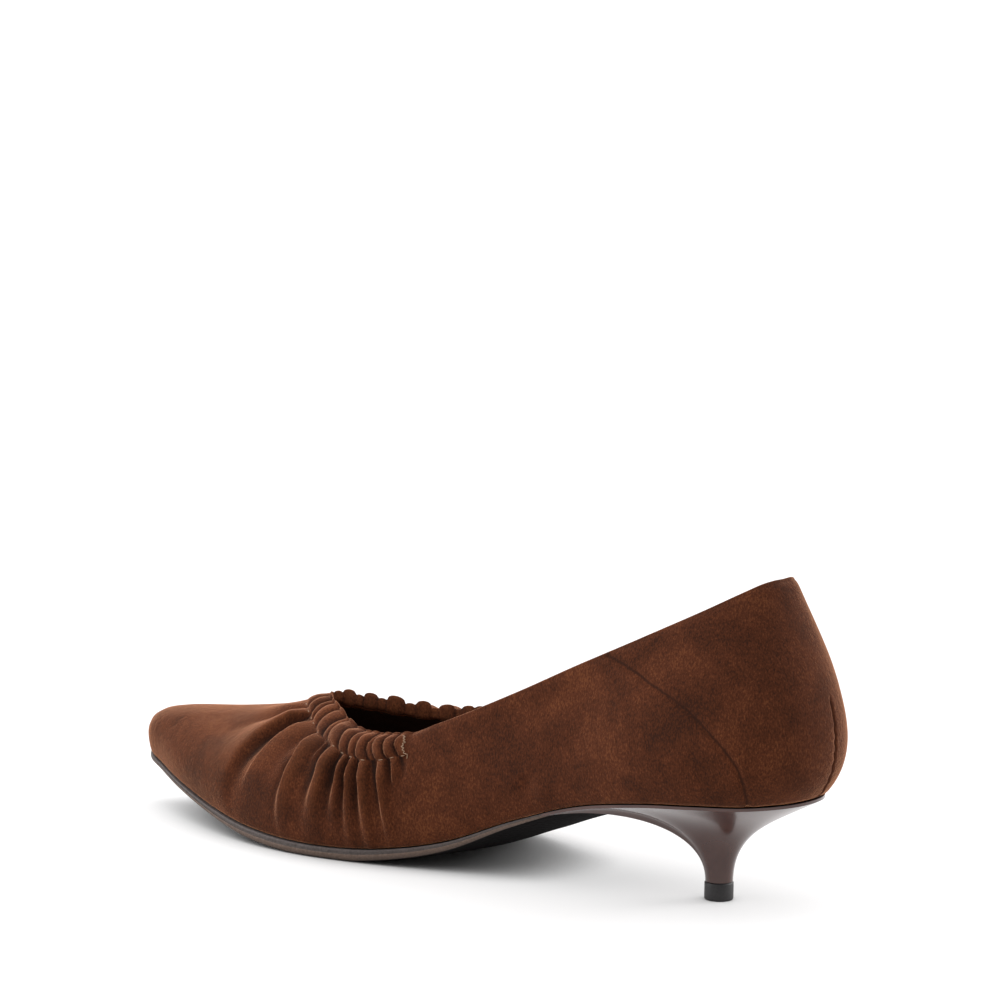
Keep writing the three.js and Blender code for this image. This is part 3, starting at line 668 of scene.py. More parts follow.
def makeSuede():
    tops = columnTops(suedeUpper["plainColumns"], suedeUpper["gatherColumns"])
    body = 2 - np.arange(suedeUpper["bodyRows"]) / suedeUpper["bodyRows"]
    body = body + suedeUpper["rowCrowding"] * np.sin((2 - body) * 2 * math.pi) / (2 * math.pi)
    levels = np.concatenate([body, 1 - np.arange(suedeUpper["casingRows"]) / suedeUpper["casingRows"]])
    level, top = np.meshgrid(levels, tops, indexing="ij")
    turn = fannedTurn(top, level)
    height, above, below = heightOn(turn, level)
    offset, paintedShadeAndHighlight = upperOffset(top, level, above, below)
    smoothWall = wallPoint(turn, height)
    footGap = (2 - level) * below
    seam = seamDistance(smoothWall, counterSeam, top, level)
    seam = np.where(top > 0.5, -seamDistance(smoothWall, mirrorPath(counterSeam), top, level), seam)
    dart = np.abs(seamDistance(smoothWall, backSeam, top, level))
    offset = offset - suedeUpper["seamDepth"] * np.exp(-((seam / suedeUpper["seamWidth"]) ** 2))
    offset = offset + suedeUpper["welt"] * np.exp(-(((seam + suedeUpper["weltAt"]) / suedeUpper["weltWidth"]) ** 2))
    pucker = suedeUpper["pucker"] * np.cos(2 * math.pi * footGap / suedeUpper["puckerPitch"] + 1.1)
    pucker = pucker * np.exp(-((dart / suedeUpper["puckerWidth"]) ** 2)) * smooth((level - 1.5) / 0.1)
    offset = offset - suedeUpper["dartDepth"] * np.exp(-((dart / suedeUpper["dartWidth"]) ** 2)) + pucker
    offset = offset - suedeUpper["footPull"] * np.clip(1 - footGap / suedeUpper["footRound"], 0, 1) ** 2
    outer = sunk(smoothWall + wallNormal(turn, height) * offset[..., None], top, level)

    # the topline: a round edge from the outer face to the inner one
    rim = tops[None]
    zero = np.zeros_like(rim)
    normal = wallNormal(rim, 1 + zero)
    outEdge, rimShadeAndHighlight = upperOffset(rim, zero, *heightOn(rim, zero)[1:])
    crest, size, roll = ridgeAt(signedPlace(rim), zero)
    gathered = gatheredAt(signedPlace(rim), zero)
    # the throat is a tight turn, so its inner side stays plain
    besideThroat = 1 - np.exp(-(signedPlace(rim) / suedeUpper["throatPlain"]) ** 2)
    inEdge = -suedeUpper["wall"] - suedeUpper["inRidge"] * crest * size * gathered * besideThroat
    crown = np.maximum((outEdge - inEdge) * suedeUpper["rimRound"], suedeUpper["edgeRound"])
    crown = np.maximum(crown + crest * roll * gathered, 0.4)
    turnOver = np.linspace(0, 1, 10)[:, None]
    across = outEdge + (inEdge - outEdge) * (1 - np.cos(math.pi * turnOver)) / 2
    up = crown * np.sin(math.pi * turnOver) ** 0.8
    edge = wallPoint(rim, 1 + zero) + normal * across[..., None]
    edge = sunk(edge, rim, zero)
    # the plain edge goes on the way the wall leans, the gathers stand upright
    way = wallPoint(rim, 1 + zero) - wallPoint(rim, 0.97 + zero)
    way = way / np.linalg.norm(way, axis=-1, keepdims=True) * (1 - gathered)[..., None]
    way[..., 2] += gathered
    edge = edge + way * up[..., None]

    # turned in over the edge, then hidden behind the lining down to the foot
    inLevels = np.array([0.06, 0.14, 0.24, 0.36, 0.5, 0.65, 0.8, 0.95, 1.0, 1.35, 1.7, 1.93])
    level2, top2 = np.meshgrid(inLevels, tops, indexing="ij")
    turn2 = fannedTurn(top2, level2)
    height2 = heightOn(turn2, level2)[0]
    crest2, size2, _ = ridgeAt(signedPlace(top2), level2)
    ridge2 = crest2 * size2 * gatheredAt(signedPlace(top2), level2) * besideThroat
    hidden = smooth((level2 - 0.96) / 0.04)
    inOffset = -suedeUpper["wall"] - suedeUpper["inRidge"] * ridge2 * np.clip(1.05 - level2, 0, 1) ** 0.5
    inOffset = inOffset + suedeUpper["behindLining"] * hidden
    inner = sunk(wallPoint(turn2, height2) + wallNormal(turn2, height2) * inOffset[..., None], top2, level2)
    footTurns = fannedTurn(tops, 2 + 0 * tops)
    foot = footPoint(footTurns) - outward(footTurns) * suedeUpper["behindLining"]
    # no seam runs on the inner face and the foot edge
    farEdge, farInner, farFoot = (
        np.full((count, len(tops)), suedeUpper["farMark"]) for count in (len(edge), len(inner), 1)
    )
    # painted shade in the creases of the turned-in suede
    innerPaintedShade = (1 - crest2) * np.clip(1.2 - level2, 0, 1)
    marks = {
        "seam": np.concatenate([seam, np.repeat(seam[-1:], len(edge), 0), farInner, farFoot]),
        "dart": np.concatenate([dart, farEdge, farInner, farFoot]),
        "paintedShadeAndHighlight": np.concatenate([paintedShadeAndHighlight, np.repeat(rimShadeAndHighlight, len(turnOver), 0), innerPaintedShade, 0 * farFoot]),
    }
    return layMesh("upper_suede", np.concatenate([outer, edge, inner, foot[None]]), marks, isRing=True)


def mirrorPath(path):
    return [(1 - top, level) for top, level in path]


suedePiece = makeSuede()
print("suede laid", len(suedePiece.data.polygons))


# Lining: a thin inner wall of smooth leather, from the turned-in edge down to the sock.
lining = {"columns": (90, 110), "thickness": 0.9, "from": 0.3}


def makeLining():
    tops = columnTops(*lining["columns"])
    down = np.linspace(0, 1, 30) ** 1.2
    start = np.where(np.abs(signedPlace(tops)) < 1.04, suedeUpper["turnedIn"], lining["from"])[None]
    level = start + (1.97 - start) * down[:, None]
    top = np.broadcast_to(tops, level.shape)
    turn = fannedTurn(top, level)
    height = heightOn(turn, level)[0]
    place = signedPlace(top)
    near = gatheredAt(place, level) * np.clip(1.3 - level, 0, 1)
    crest, size, _ = ridgeAt(place, level)
    ripple = crest * size * near
    normal = wallNormal(turn, height)
    base = wallPoint(turn, height)
    # the inner face stands just inside the turned-in suede at the top and at the wall's inner face below
    tucked = 0.22 * np.clip(1 - down * 12, 0, 1)[:, None]
    face = base - normal * (suedeUpper["wall"] + 0.02 + ripple - tucked)[..., None]
    back = (base - normal * (suedeUpper["wall"] - lining["thickness"] + 0.05 + ripple)[..., None])[::-1]
    return layMesh("lining", np.concatenate([face, back]), isRing=True)


liningPiece = makeLining()
print("lining laid", len(liningPiece.data.polygons))


def facing(loop):
    # each point's partner on the other side
    return loop[..., (-np.arange(loop.shape[-2])) % loop.shape[-2], :]


def drawnIn(loop, share):
    # a loop drawn in to its middle line: 1 leaves it as it is, 0 lays its two sides on each other
    return facing(loop) * (1 - share) / 2 + loop * (1 + share) / 2


# Sock: the padded insole, rounded at its edge.
sock = {"columns": 160, "gap": -0.12, "thickness": 2.4, "round": 0.9, "pad": 0.6}


def makeSock():
    turns = np.arange(sock["columns"]) / sock["columns"]
    _, _, below = heightOn(turns, 2.0)

    def edge(inset, up):
        height, _, _ = heightOn(turns, 2 - up / below)
        return wallPoint(turns, height) - outward(turns) * (suedeUpper["wall"] + sock["gap"] + inset)

    loops = []
    for share in (0, 0.25, 0.5, 0.75):
        loop = edge(0, 0)
        loop = drawnIn(loop, share)
        loop[:, 2] = rise(loop[:, 0])
        loops.append(loop)
    for up in (0, 0.35, 0.62):
        loop = edge(0, sock["thickness"] * up)
        loop[:, 2] = rise(loop[:, 0]) + sock["thickness"] * up
        loops.append(loop)
    for step in range(1, 6):
        angle = step / 5 * math.pi / 2
        up = sock["thickness"] - sock["round"] * (1 - math.sin(angle))
        loop = edge(sock["round"] * (1 - math.cos(angle)), up)
        loop[:, 2] = rise(loop[:, 0]) + up
        loops.append(loop)
    rim = edge(sock["round"], sock["thickness"])
    for share in np.linspace(0.97, 0, 16):
        loop = drawnIn(rim, share)
        loop[:, 2] = rise(loop[:, 0]) + sock["thickness"] + sock["pad"] * (1 - share ** 4) * 0.6
        loops.append(loop)
    return layMesh("sock", np.stack(loops))


sockPiece = makeSock()
print("sock laid")

# Outsole: flat under the ball, crowned and narrower towards its tail.
outsole = {
    "columns": 130,
    "thickness": 3.6,
    "lip": 0.8,
    "tuck": 7,
    "tailAt": 62,
    "crown": 4.6,
    "gap": 0.3,
    # at, lip, tuck, thickness, crown as shares of the sizes above and of the foot's length
    "bottom": [
        (0.242, 0, 1, 0.3, 0.8), (0.285, 0, 0.55, 0.33, 0.95), (0.328, 0, 0.17, 0.4, 1), (0.367, 0, 0.04, 0.5, 1),
        (0.438, 0.6, 0, 0.75, 0.7), (0.488, 0.9, 0, 0.9, 0.42), (0.543, 1, 0, 1, 0.12), (0.59, 1, 0, 1.1, 0),
        (0.742, 1, 0, 0.95, 0), (0.848, 0.8, 0, 0.64, 0), (1, 0.4, 0, 0.42, 0),
    ],
    # up and out along the edge, from the tread to the top
    "edge": [
        (0, -1.6), (0.02, -0.95), (0.07, -0.35), (0.14, 0.15), (0.22, 0.55), (0.32, 0.82), (0.44, 0.96), (0.54, 1),
        (0.6, 0.97), (0.63, 0.82), (0.645, 0.5), (0.66, 0.4), (0.72, 0.4), (0.86, 0.4), (0.97, 0.38), (1, 0.25),
    ],
}
bottomAt = np.array(outsole["bottom"])
lipAt, tuckAt, thicknessAt, crownAt = (
    smoothTable(bottomAt[:, 0] * last["footLength"], bottomAt[:, column]) for column in (1, 2, 3, 4)
)


def outsoleRows(clearance, columns):
    steps = np.arange(401) / 400
    start = steps[np.argmax(footCurve(steps)[:, 0] >= outsole["tailAt"])]
    turns = start + (0.5 - start) * np.arange(columns + 1) / columns
    turns = np.concatenate([turns, 1 - turns[-2::-1]])

    def edgeLoop(out):
        foot = footCurve(turns)
        station = foot[:, 0]
        move = lipAt(station) * outsole["lip"] * out - tuckAt(station) * outsole["tuck"] + clearance
        foot = foot + outward(turns) * move[:, None]
        foot[:, 0] = np.maximum(foot[:, 0], outsole["tailAt"] - clearance)
        end = (foot[0] + foot[-1]) / 2
        end[0] = outsole["tailAt"] - clearance
        return np.concatenate([end[None], foot])

    def bottomRise(station):
        return np.maximum(rise(station) - outsole["gap"] - thicknessAt(station) * outsole["thickness"], 0)

    rim = edgeLoop(outsole["edge"][0][1])
    loops, marks = [], []
    for share in np.linspace(0, 0.96, 20):
        loop = drawnIn(rim, share)
        crown = crownAt(loop[:, 0]) * outsole["crown"] * (1 - share * share)
        loop[:, 2] = np.maximum(bottomRise(loop[:, 0]) - crown, 0) - clearance
        loops.append(loop)
        marks.append(np.full(len(loop), -0.2 if share < 0.9 else -0.05))
    for up, out in outsole["edge"]:
        loop = edgeLoop(out)
        low, high = bottomRise(loop[:, 0]) - clearance, rise(loop[:, 0]) - outsole["gap"] + clearance
        loop[:, 2] = low + (high - low) * up
        loops.append(loop)
        marks.append(np.full(len(loop), float(up)))
    lid = loops[-1]
    for share in (0.9, 0.5, 0):
        loop = drawnIn(lid, share)
        loop[:, 2] = rise(loop[:, 0]) - outsole["gap"] + clearance
        loops.append(loop)
        marks.append(np.full(len(loop), 1.2))
    return np.stack(loops), {"up": np.stack(marks)}


outsolePiece = layMesh("outsole_dressed", *outsoleRows(0, outsole["columns"]))
print("outsole laid")

# Heel: a flared kitten heel with wings along the seat.
heel = {
    "sideCount": 64,
    "breastCount": 24,
    "profileSteps": 34,
    "liftRadius": 4.45,
    "stemInset": 0.22,
    "liftHeight": 5.6,
    "joint": 0.1,
    "wingTip": 82,
    "wingLip": 0.9,
    "wingInset": 0.15,
    "tailGap": 0.3,
    "sharpFrom": 35,
    # around, stand, fore, aside, drop
    "profiles": [
        (0, 0.445, 0.48, 0.48, 0.248), (0.3, 0.445, 0.49, 0.49, 0.22), (0.45, 0.45, 0.5, 0.5, 0.16),
        (0.6, 0.46, 0.46, 0.3, 0.03), (0.7, 0.487, 0.49, 0.13, -0.186), (0.85, 0.43, 0.5, 0.08, -0.186),
        (1, 0.39, 0.535, 0, -0.186),
    ],
}


def makeHeel():
    profileAt = np.array(heel["profiles"])
    stand, fore, aside, drop = (smoothTable(profileAt[:, 0], profileAt[:, column]) for column in (1, 2, 3, 4))
    sideCount, breastCount = heel["sideCount"], heel["breastCount"]
    halfCount = sideCount + breastCount
    walk = np.arange(0, 0.5, 0.0005)
    wingTurn = walk[np.argmax(footCurve(walk)[:, 0] >= heel["wingTip"])]
    index = np.arange(2 * halfCount)
    inner = index <= halfCount
    step = np.where(inner, index, 2 * halfCount - index)
    turn = wingTurn * np.minimum(step / sideCount, 1)
    turn = np.where(inner, turn, (1 - turn) % 1)
    seat = footCurve(turn) - outward(turn) * heel["wingInset"]
    seat[:, 1] *= np.where(step > sideCount, (halfCount - step) / breastCount, 1)
    share = step / halfCount
    radius = heel["liftRadius"] - heel["stemInset"]
    angle = math.pi * (1 - share)
    way = np.where(inner, 1, -1)
    stem = np.stack([
        last["liftAt"] + radius * np.cos(angle),
        way * radius * np.sin(angle),
        np.full(len(index), heel["liftHeight"] + heel["joint"]),
    ], 1)
    top = rise(seat[:, 0]) - outsole["gap"]
    seat[:, 2] = top - heel["wingLip"]
    upright = stem.copy()
    upright[:, 2] += stand(share) * last["heelHeight"]
    flare = np.stack([
        seat[:, 0] + (last["liftAt"] - seat[:, 0]) * fore(share),
        seat[:, 1] * (1 - aside(share)),
        seat[:, 2] - drop(share) * last["heelHeight"],
    ], 1)
    loops = []
    for t in np.linspace(0, 1, heel["profileSteps"] + 1):
        w = 1 - t
        loops.append(w ** 3 * stem + 3 * w * w * t * upright + 3 * w * t * t * flare + t ** 3 * seat)
    for up in (0.4, 0.75, 0.93, 1):
        lip = seat.copy()
        lip[:, 2] = seat[:, 2] + (top - seat[:, 2]) * up
        loops.append(lip)
    under = [drawnIn(loops[0], share) for share in (0, 0.5)]
    over = []
    for share in (0.6, 0):
        loop = drawnIn(loops[-1], share)
        loop[:, 2] = rise(loop[:, 0]) - outsole["gap"]
        over.append(loop)
    piece = layMesh("heel_dressed", np.stack(under + loops + over))
    tail, _ = outsoleRows(heel["tailGap"], outsole["columns"])
    cutter = layMesh("tail_room", tail)
    modifier = piece.modifiers.new("rebate", "BOOLEAN")
    modifier.operation, modifier.solver, modifier.object = "DIFFERENCE", "MANIFOLD", cutter
    cutMesh = bpy.data.meshes.new_from_object(piece.evaluated_get(bpy.context.evaluated_depsgraph_get()))
    piece.modifiers.clear()
    cutMesh.set_sharp_from_angle(angle=math.radians(heel["sharpFrom"]))
    piece.data = cutMesh
    bpy.data.objects.remove(cutter)
    return piece


heelPiece = makeHeel()
print("heel laid", len(heelPiece.data.polygons))

# Top lift: a turned disc with a bevelled edge.
topLift = {"radius": 4.45, "height": 5.6, "bevel": 0.5, "columns": 72}


def makeTopLift():
    bm = bmesh.new()
    bmesh.ops.create_cone(
        bm, cap_ends=True, segments=topLift["columns"], radius1=topLift["radius"] / 1000,
        radius2=topLift["radius"] / 1000, depth=topLift["height"] / 1000,
        matrix=Matrix.Translation(toFrame([last["liftAt"], 0, topLift["height"] / 2])),
    )
    rims = [edge for edge in bm.edges if abs(edge.verts[0].co.z - edge.verts[1].co.z) < 1e-6]
    bmesh.ops.bevel(
        bm, geom=rims, offset=topLift["bevel"] / 1000, offset_type="OFFSET", affect="EDGES", segments=3,
        profile=0.5, material=-1,
    )
    return finishMesh("top_lift_dressed", bm)


topLiftPiece = makeTopLift()

# Thread: single stitches along the casing and close zigzags over both of its ends.
thread = {
    "radius": 0.15,
    "length": 1.25,
    "least": 0.6,
    "proud": 0.1,
    "tackWidth": 0.9,
    "tackSteps": 15,
    "tackAt": 0.961,
    "tackSlant": 0.085,
    "tackWander": 0.006,
    "overlap": 1.12,
}


def surfacePoint(top, level):
    top, level = np.atleast_2d(top), np.atleast_2d(level)
    turn = fannedTurn(top, level)
    height, above, below = heightOn(turn, level)
    offset, _ = upperOffset(top, level, above, below)
    normal = wallNormal(turn, height)
    return sunk(wallPoint(turn, height) + normal * offset[..., None], top, level)[0], normal[0]


def addStitch(bm, start, end, normal, proud):
    middle, along = (start + end) / 2, end - start
    length = np.linalg.norm(along)
    z = Vector(normal).normalized()
    x = Vector(along).normalized()
    y = z.cross(x).normalized()
    z = x.cross(y)
    place = Matrix((x, y, z)).transposed().to_4x4()
    place.translation = Vector(toFrame(middle)) + z * proud / 1000
    radius = thread["radius"] / 1000
    size = Matrix.Diagonal((length / 2000 * thread["overlap"], radius, radius, 1))
    bmesh.ops.create_uvsphere(bm, u_segments=8, v_segments=6, radius=1, matrix=place @ size)


def makeThread():
    bm = bmesh.new()
    reach = thread["length"] / 2 / casingLength
    for _, _, place, size, _ in suedeUpper["ridges"]:
        if size >= thread["least"]:
            places = np.abs(place + np.array([-reach, 0, reach]))
            tops = turnAt(places) if place > 0 else 1 - turnAt(places)
            points, normals = surfacePoint(tops, np.full(3, 1.0))
            addStitch(bm, points[0], points[2], normals[1], thread["proud"])
    for way in (1, -1):
        steps = np.linspace(0, 1, thread["tackSteps"])
        sway = np.where(np.arange(thread["tackSteps"]) % 2, 1, -1) * (0.75 + 0.25 * np.sin(steps * 23))
        place = thread["tackAt"] + thread["tackSlant"] * steps + thread["tackWander"] * np.sin(steps * 7)
        place = place + sway * thread["tackWidth"] / 2 / casingLength
        tops = turnAt(place) if way > 0 else 1 - turnAt(place)
        points, normals = surfacePoint(tops, 0.16 + 0.88 * steps)
        for step in range(thread["tackSteps"] - 1):
            addStitch(bm, points[step], points[step + 1], normals[step], thread["proud"])
    return finishMesh("collar_thread", bm)


threadPiece = makeThread()
print("thread laid", len(threadPiece.data.polygons))


# Suede: split calf leather buffed to a short nap. It is matt, shows light and dark strokes where the nap
# lies one way or the other, and has a pale sheen at grazing angles, partly from the shader's sheen and partly
# painted into its colour. The fibres are drawn coarser than real ones, which are too fine to show.
suedeMaterial, tree, shader, inMm = newMaterial("brown_suede")
clouds = addNode(tree, "ShaderNodeTexNoise", {
    "Vector": inMm, "Scale": 0.05, "Detail": 2.0, "Roughness": 0.5, "Distortion": 0.8,
})
strokes = addNode(tree, "ShaderNodeTexNoise", {
    "Vector": inMm, "Scale": 0.3, "Detail": 3.0, "Roughness": 0.6, "Distortion": 0.3,
})
brushed = addNode(tree, "ShaderNodeMapping", {"Vector": inMm, "Scale": (1.0, 1.0, 0.5)}).outputs["Vector"]
nap = addNode(tree, "ShaderNodeTexNoise", {"Vector": brushed, "Scale": 2.1, "Detail": 3.0, "Roughness": 0.65})
shade = addNode(tree, "ShaderNodeMath", {0: clouds.outputs["Fac"], 1: 0.32}, operation="MULTIPLY").outputs[0]
for share, part in ((0.13, strokes), (0.55, nap)):
    inputs = {0: part.outputs["Fac"], 1: share, 2: shade}
    shade = addNode(tree, "ShaderNodeMath", inputs, operation="MULTIPLY_ADD").outputs[0]
tone = ramp(tree, shade, [
    (0.38, colour("#31170b")), (0.46, colour("#42200e")), (0.54, colour("#502815")), (0.62, colour("#63371e")),
])
# painted highlight: the crests are made paler, partly as rubbed nap; painted shade: the creases are darkened
shadeAndHighlightMark = addNode(tree, "ShaderNodeAttribute", attribute_name="paintedShadeAndHighlight").outputs["Fac"]
tone = mixed(tree, tone, colour("#8a5332"), between(tree, shadeAndHighlightMark, -0.05, -0.3, 0.0, 0.13))
tone = mixed(tree, tone, colour("#180a05"), between(tree, shadeAndHighlightMark, 0.02, 0.7, 0.0, 0.85))
# painted shade: the counter behind its seam is darkened a little, more so further from the seam
seamMark = addNode(tree, "ShaderNodeAttribute", attribute_name="seam").outputs["Fac"]
tone = mixed(tree, tone, between(tree, seamMark, -30.0, 0.0, 0.8, 0.95), 1.0, "MULTIPLY")
# painted sheen: a paler colour mixed into the base colour where the wall turns away from the eye
sheen = addNode(tree, "ShaderNodeLayerWeight", {"Blend": 0.5}).outputs["Facing"]
sheen = addNode(tree, "ShaderNodeMath", {0: sheen, 1: 5.0}, operation="POWER").outputs[0]
sheen = addNode(tree, "ShaderNodeMath", {0: sheen, 1: 0.24}, operation="MULTIPLY").outputs[0]
tone = mixed(tree, tone, colour("#c3937a"), sheen)
# the seams lie in a thin dark line
dartMark = addNode(tree, "ShaderNodeAttribute", attribute_name="dart").outputs["Fac"]
apart = addNode(tree, "ShaderNodeMath", {0: seamMark}, operation="ABSOLUTE").outputs[0]
apart = addNode(tree, "ShaderNodeMath", {0: apart, 1: dartMark}, operation="MINIMUM").outputs[0]
tone = mixed(tree, colour("#2a140a"), tone, between(tree, apart, 0.2, 0.65, 0.25, 1.0))
fibres = addNode(tree, "ShaderNodeBump", {"Height": nap.outputs["Fac"], "Strength": 0.7, "Distance": 0.0004})
softness = addNode(tree, "ShaderNodeBump", {
    "Height": strokes.outputs["Fac"], "Strength": 0.4, "Distance": 0.0007, "Normal": fibres.outputs["Normal"],
})
tree.links.new(tone, shader.inputs["Base Color"])
tree.links.new(softness.outputs["Normal"], shader.inputs["Normal"])
shader.inputs["Roughness"].default_value = 0.95
shader.inputs["Specular IOR Level"].default_value = 0.15
shader.inputs["Sheen Weight"].default_value = 1.0
shader.inputs["Sheen Roughness"].default_value = 0.22
shader.inputs["Sheen Tint"].default_value = colour("#e39c70")

# Lining: smooth pigskin, dyed dark, with a low satin sheen and a fine grain.
liningMaterial, tree, shader, inMm = newMaterial("dark_lining_leather")
pores = addNode(tree, "ShaderNodeTexVoronoi", {"Vector": inMm, "Scale": 1.3}, feature="F1")
cloud = addNode(tree, "ShaderNodeTexNoise", {"Vector": inMm, "Scale": 0.12, "Detail": 3.0})
liningTone = ramp(tree, cloud.outputs["Fac"], [(0.35, colour("#38241a")), (0.65, colour("#4b3224"))])
grain = addNode(tree, "ShaderNodeBump", {"Height": pores.outputs["Distance"], "Strength": 0.25, "Distance": 0.0002})
tree.links.new(liningTone, shader.inputs["Base Color"])
tree.links.new(grain.outputs["Normal"], shader.inputs["Normal"])
shader.inputs["Roughness"].default_value = 0.55

# Outsole: moulded rubber, dark with a paler ground edge under the step.
soleMaterial, tree, shader, inMm = newMaterial("moulded_sole_rubber")
upMark = addNode(tree, "ShaderNodeAttribute", attribute_name="up").outputs["Fac"]
bands = ramp(tree, upMark, [
    (0.0, colour("#121010")), (0.07, colour("#1f1a19")), (0.13, colour("#54463e")), (0.6, colour("#5f4e44")),
    (0.645, colour("#453d3a")), (1.0, colour("#544c4a")),
])
speck = addNode(tree, "ShaderNodeTexNoise", {"Vector": inMm, "Scale": 1.6, "Detail": 4.0, "Roughness": 0.7})
soleTone = mixed(tree, bands, between(tree, speck.outputs["Fac"], 0.3, 0.7, 0.7, 1.3), 1.0, "MULTIPLY")
crackle = addNode(tree, "ShaderNodeTexVoronoi", {"Vector": inMm, "Scale": 0.9}, feature="SMOOTH_F1")
soleBump = addNode(tree, "ShaderNodeBump", {"Height": crackle.outputs["Distance"], "Strength": 0.5, "Distance": 0.0005})
tree.links.new(soleTone, shader.inputs["Base Color"])
tree.links.new(soleBump.outputs["Normal"], shader.inputs["Normal"])
tree.links.new(between(tree, upMark, 0.0, 0.13, 0.04, 0.22), shader.inputs["Specular IOR Level"])
tree.links.new(between(tree, upMark, 0.0, 0.13, 0.85, 0.55), shader.inputs["Roughness"])

# Heel: moulded ABS under a glossy mauve-brown lacquer, whose clear highlights show its flare.
heelMaterial, tree, shader, inMm = newMaterial("mauve_brown_lacquer")
ripple = addNode(tree, "ShaderNodeTexNoise", {"Vector": inMm, "Scale": 0.15, "Detail": 2.0})
heelTone = ramp(tree, ripple.outputs["Fac"], [(0.35, colour("#3a1c15")), (0.65, colour("#41231b"))])
tree.links.new(heelTone, shader.inputs["Base Color"])
shader.inputs["Roughness"].default_value = 0.22
shader.inputs["IOR"].default_value = 1.45
shader.inputs["Coat Weight"].default_value = 0.4
shader.inputs["Coat Roughness"].default_value = 0.12

# Top lift: black polyurethane with a ground side, dull and finely speckled.
liftMaterial, tree, shader, inMm = newMaterial("black_lift_rubber")
grit = addNode(tree, "ShaderNodeTexNoise", {"Vector": inMm, "Scale": 2.5, "Detail": 4.0})
liftTone = ramp(tree, grit.outputs["Fac"], [(0.35, colour("#161314")), (0.65, colour("#252122"))])
liftBump = addNode(tree, "ShaderNodeBump", {"Height": grit.outputs["Fac"], "Strength": 0.2, "Distance": 0.0002})
tree.links.new(liftTone, shader.inputs["Base Color"])
tree.links.new(liftBump.outputs["Normal"], shader.inputs["Normal"])
shader.inputs["Roughness"].default_value = 0.5

# Thread: pale polyester, which gives thin light dashes along the casing.
threadMaterial, tree, shader, inMm = newMaterial("pale_thread")
twist = addNode(tree, "ShaderNodeTexNoise", {"Vector": inMm, "Scale": 4.0, "Detail": 2.0})
threadTone = ramp(tree, twist.outputs["Fac"], [(0.35, colour("#7d6048")), (0.65, colour("#9c7f66"))])
tree.links.new(threadTone, shader.inputs["Base Color"])
shader.inputs["Roughness"].default_value = 0.7

dress(suedePiece, suedeMaterial, "suede", "upper")
dress(liningPiece, liningMaterial, "sock")
dress(sockPiece, liningMaterial, "sock", "insole")
dress(outsolePiece, soleMaterial, "sole", "outsole")
dress(heelPiece, heelMaterial, "heel_lacquer", "heel")
dress(topLiftPiece, liftMaterial, "lift", "top_lift")
dress(threadPiece, threadMaterial, "suede")
print("dressed")

# Floor, light and camera.
studio = {
    "target": (-1.30, 0.82, 35),
    "azimuth": 217.51,
    "elevation": 11.96,
    "distance": 1556.77,
    "yaw": -0.16,
    "pitch": -2.82,
    "roll": 0.73,
    "lens": 179.06,
    "floor": "#9f9e9e",
    "glowHeight": 55,
    "glow": [(0, 0.05), (0.3, 0.08), (0.5, 0.34), (0.75, 0.85), (1, 1.0)],
    "strength": 2.1,
    "floorGlow": 0.48,
}


def direction(azimuth, elevation):
    a, e = math.radians(azimuth), math.radians(elevation)
    return Vector((math.sin(a) * math.cos(e), -math.cos(a) * math.cos(e), math.sin(e)))


def placeCamera():
    back = direction(studio["azimuth"], studio["elevation"])
    position = (Vector(studio["target"]) + back * studio["distance"]) / 1000
    back = direction(studio["azimuth"] + studio["yaw"], studio["elevation"] + studio["pitch"])
    right = (-back).cross(Vector((0, 0, 1))).normalized()
    up = right.cross(-back)
    turn = math.radians(studio["roll"])
    right, up = right * math.cos(turn) + up * math.sin(turn), up * math.cos(turn) - right * math.sin(turn)
    data = bpy.data.cameras.new("camera")
    data.sensor_width, data.lens, data.clip_end = 36, studio["lens"], 50
    camera = bpy.data.objects.new("camera", data)
    place = Matrix((right, up, back)).transposed().to_4x4()
    place.translation = position
    camera.matrix_world = place
    bpy.context.scene.collection.objects.link(camera)
    bpy.context.scene.camera = camera


placeCamera()


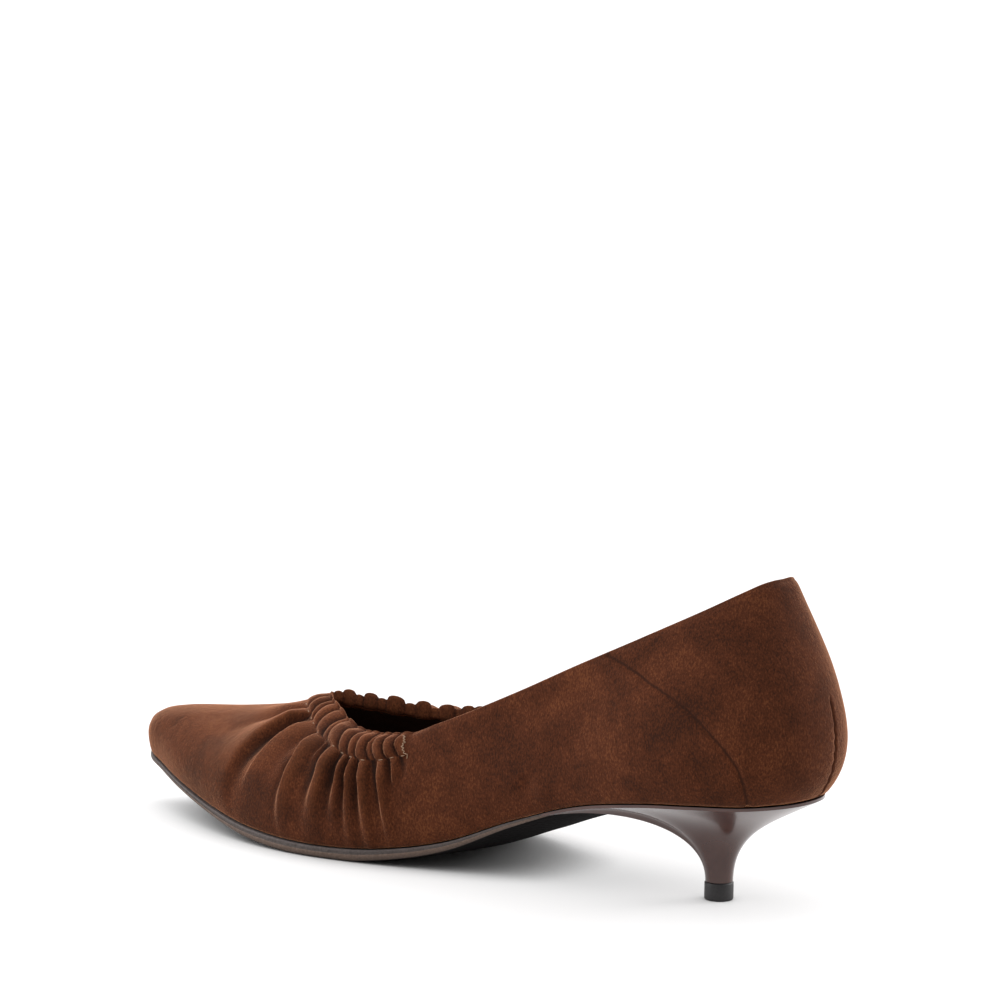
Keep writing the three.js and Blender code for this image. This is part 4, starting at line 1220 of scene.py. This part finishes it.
def addLight(name, size, power, azimuth, elevation, distance, aim=(0, 0, 0.04)):
    data = bpy.data.lights.new(name, "AREA")
    data.shape, data.size, data.energy = "SQUARE", size, power
    light = bpy.data.objects.new(name, data)
    back = direction(azimuth, elevation)
    turn = back.to_track_quat("Z", "Y").to_matrix().to_4x4()
    light.matrix_world = Matrix.Translation(Vector(aim) + back * distance) @ turn
    bpy.context.scene.collection.objects.link(light)


addLight("top_softbox", 1.4, 4, 30, 75, 1.6)
addLight("toe_softbox", 1.0, 12, 122, 26, 1.5)
addLight("back_softbox", 0.6, 10, 325, 24, 1.5)

bm = bmesh.new()
bmesh.ops.create_grid(bm, x_segments=4, y_segments=4, size=6)
floorPiece = finishMesh("floor", bm, False)
floorMaterial, tree, shader, inMm = newMaterial("pale_floor")
shader.inputs["Base Color"].default_value = colour(studio["floor"])
shader.inputs["Roughness"].default_value = 0.9
shader.inputs["Emission Color"].default_value = (1, 1, 1, 1)
# painted light and shadow: the floor glows as if lit, and its glow is cut by ambient occlusion
# close to the shoe, which paints its contact shadow
closeBy = addNode(tree, "ShaderNodeAmbientOcclusion", {"Distance": 0.02}, samples=8).outputs["AO"]
floorGlow = between(tree, closeBy, 0.2, 0.7, 0.0, studio["floorGlow"])
tree.links.new(floorGlow, shader.inputs["Emission Strength"])
floorPiece.data.materials.append(floorMaterial)

# the studio is bright behind and above the shoe and dim on the near side
world = bpy.data.worlds.new("studio")
world.use_nodes = True
tree = world.node_tree
away = -direction(studio["azimuth"], 0)
tilt = math.radians(studio["glowHeight"])
aim = (away * math.cos(tilt) + Vector((0, 0, math.sin(tilt)))).normalized()
sight = addNode(tree, "ShaderNodeTexCoord").outputs["Generated"]
towards = addNode(tree, "ShaderNodeVectorMath", {0: sight, 1: tuple(aim)}, operation="DOT_PRODUCT").outputs["Value"]
spread = between(tree, towards, -1.0, 1.0, 0.0, 1.0)
glow = ramp(tree, spread, [(at, grey(value)) for at, value in studio["glow"]])
tree.links.new(glow, tree.nodes["Background"].inputs["Color"])
tree.nodes["Background"].inputs["Strength"].default_value = studio["strength"]
bpy.context.scene.world = world
bpy.context.scene.view_settings.view_transform = "Standard"
print("studio set")
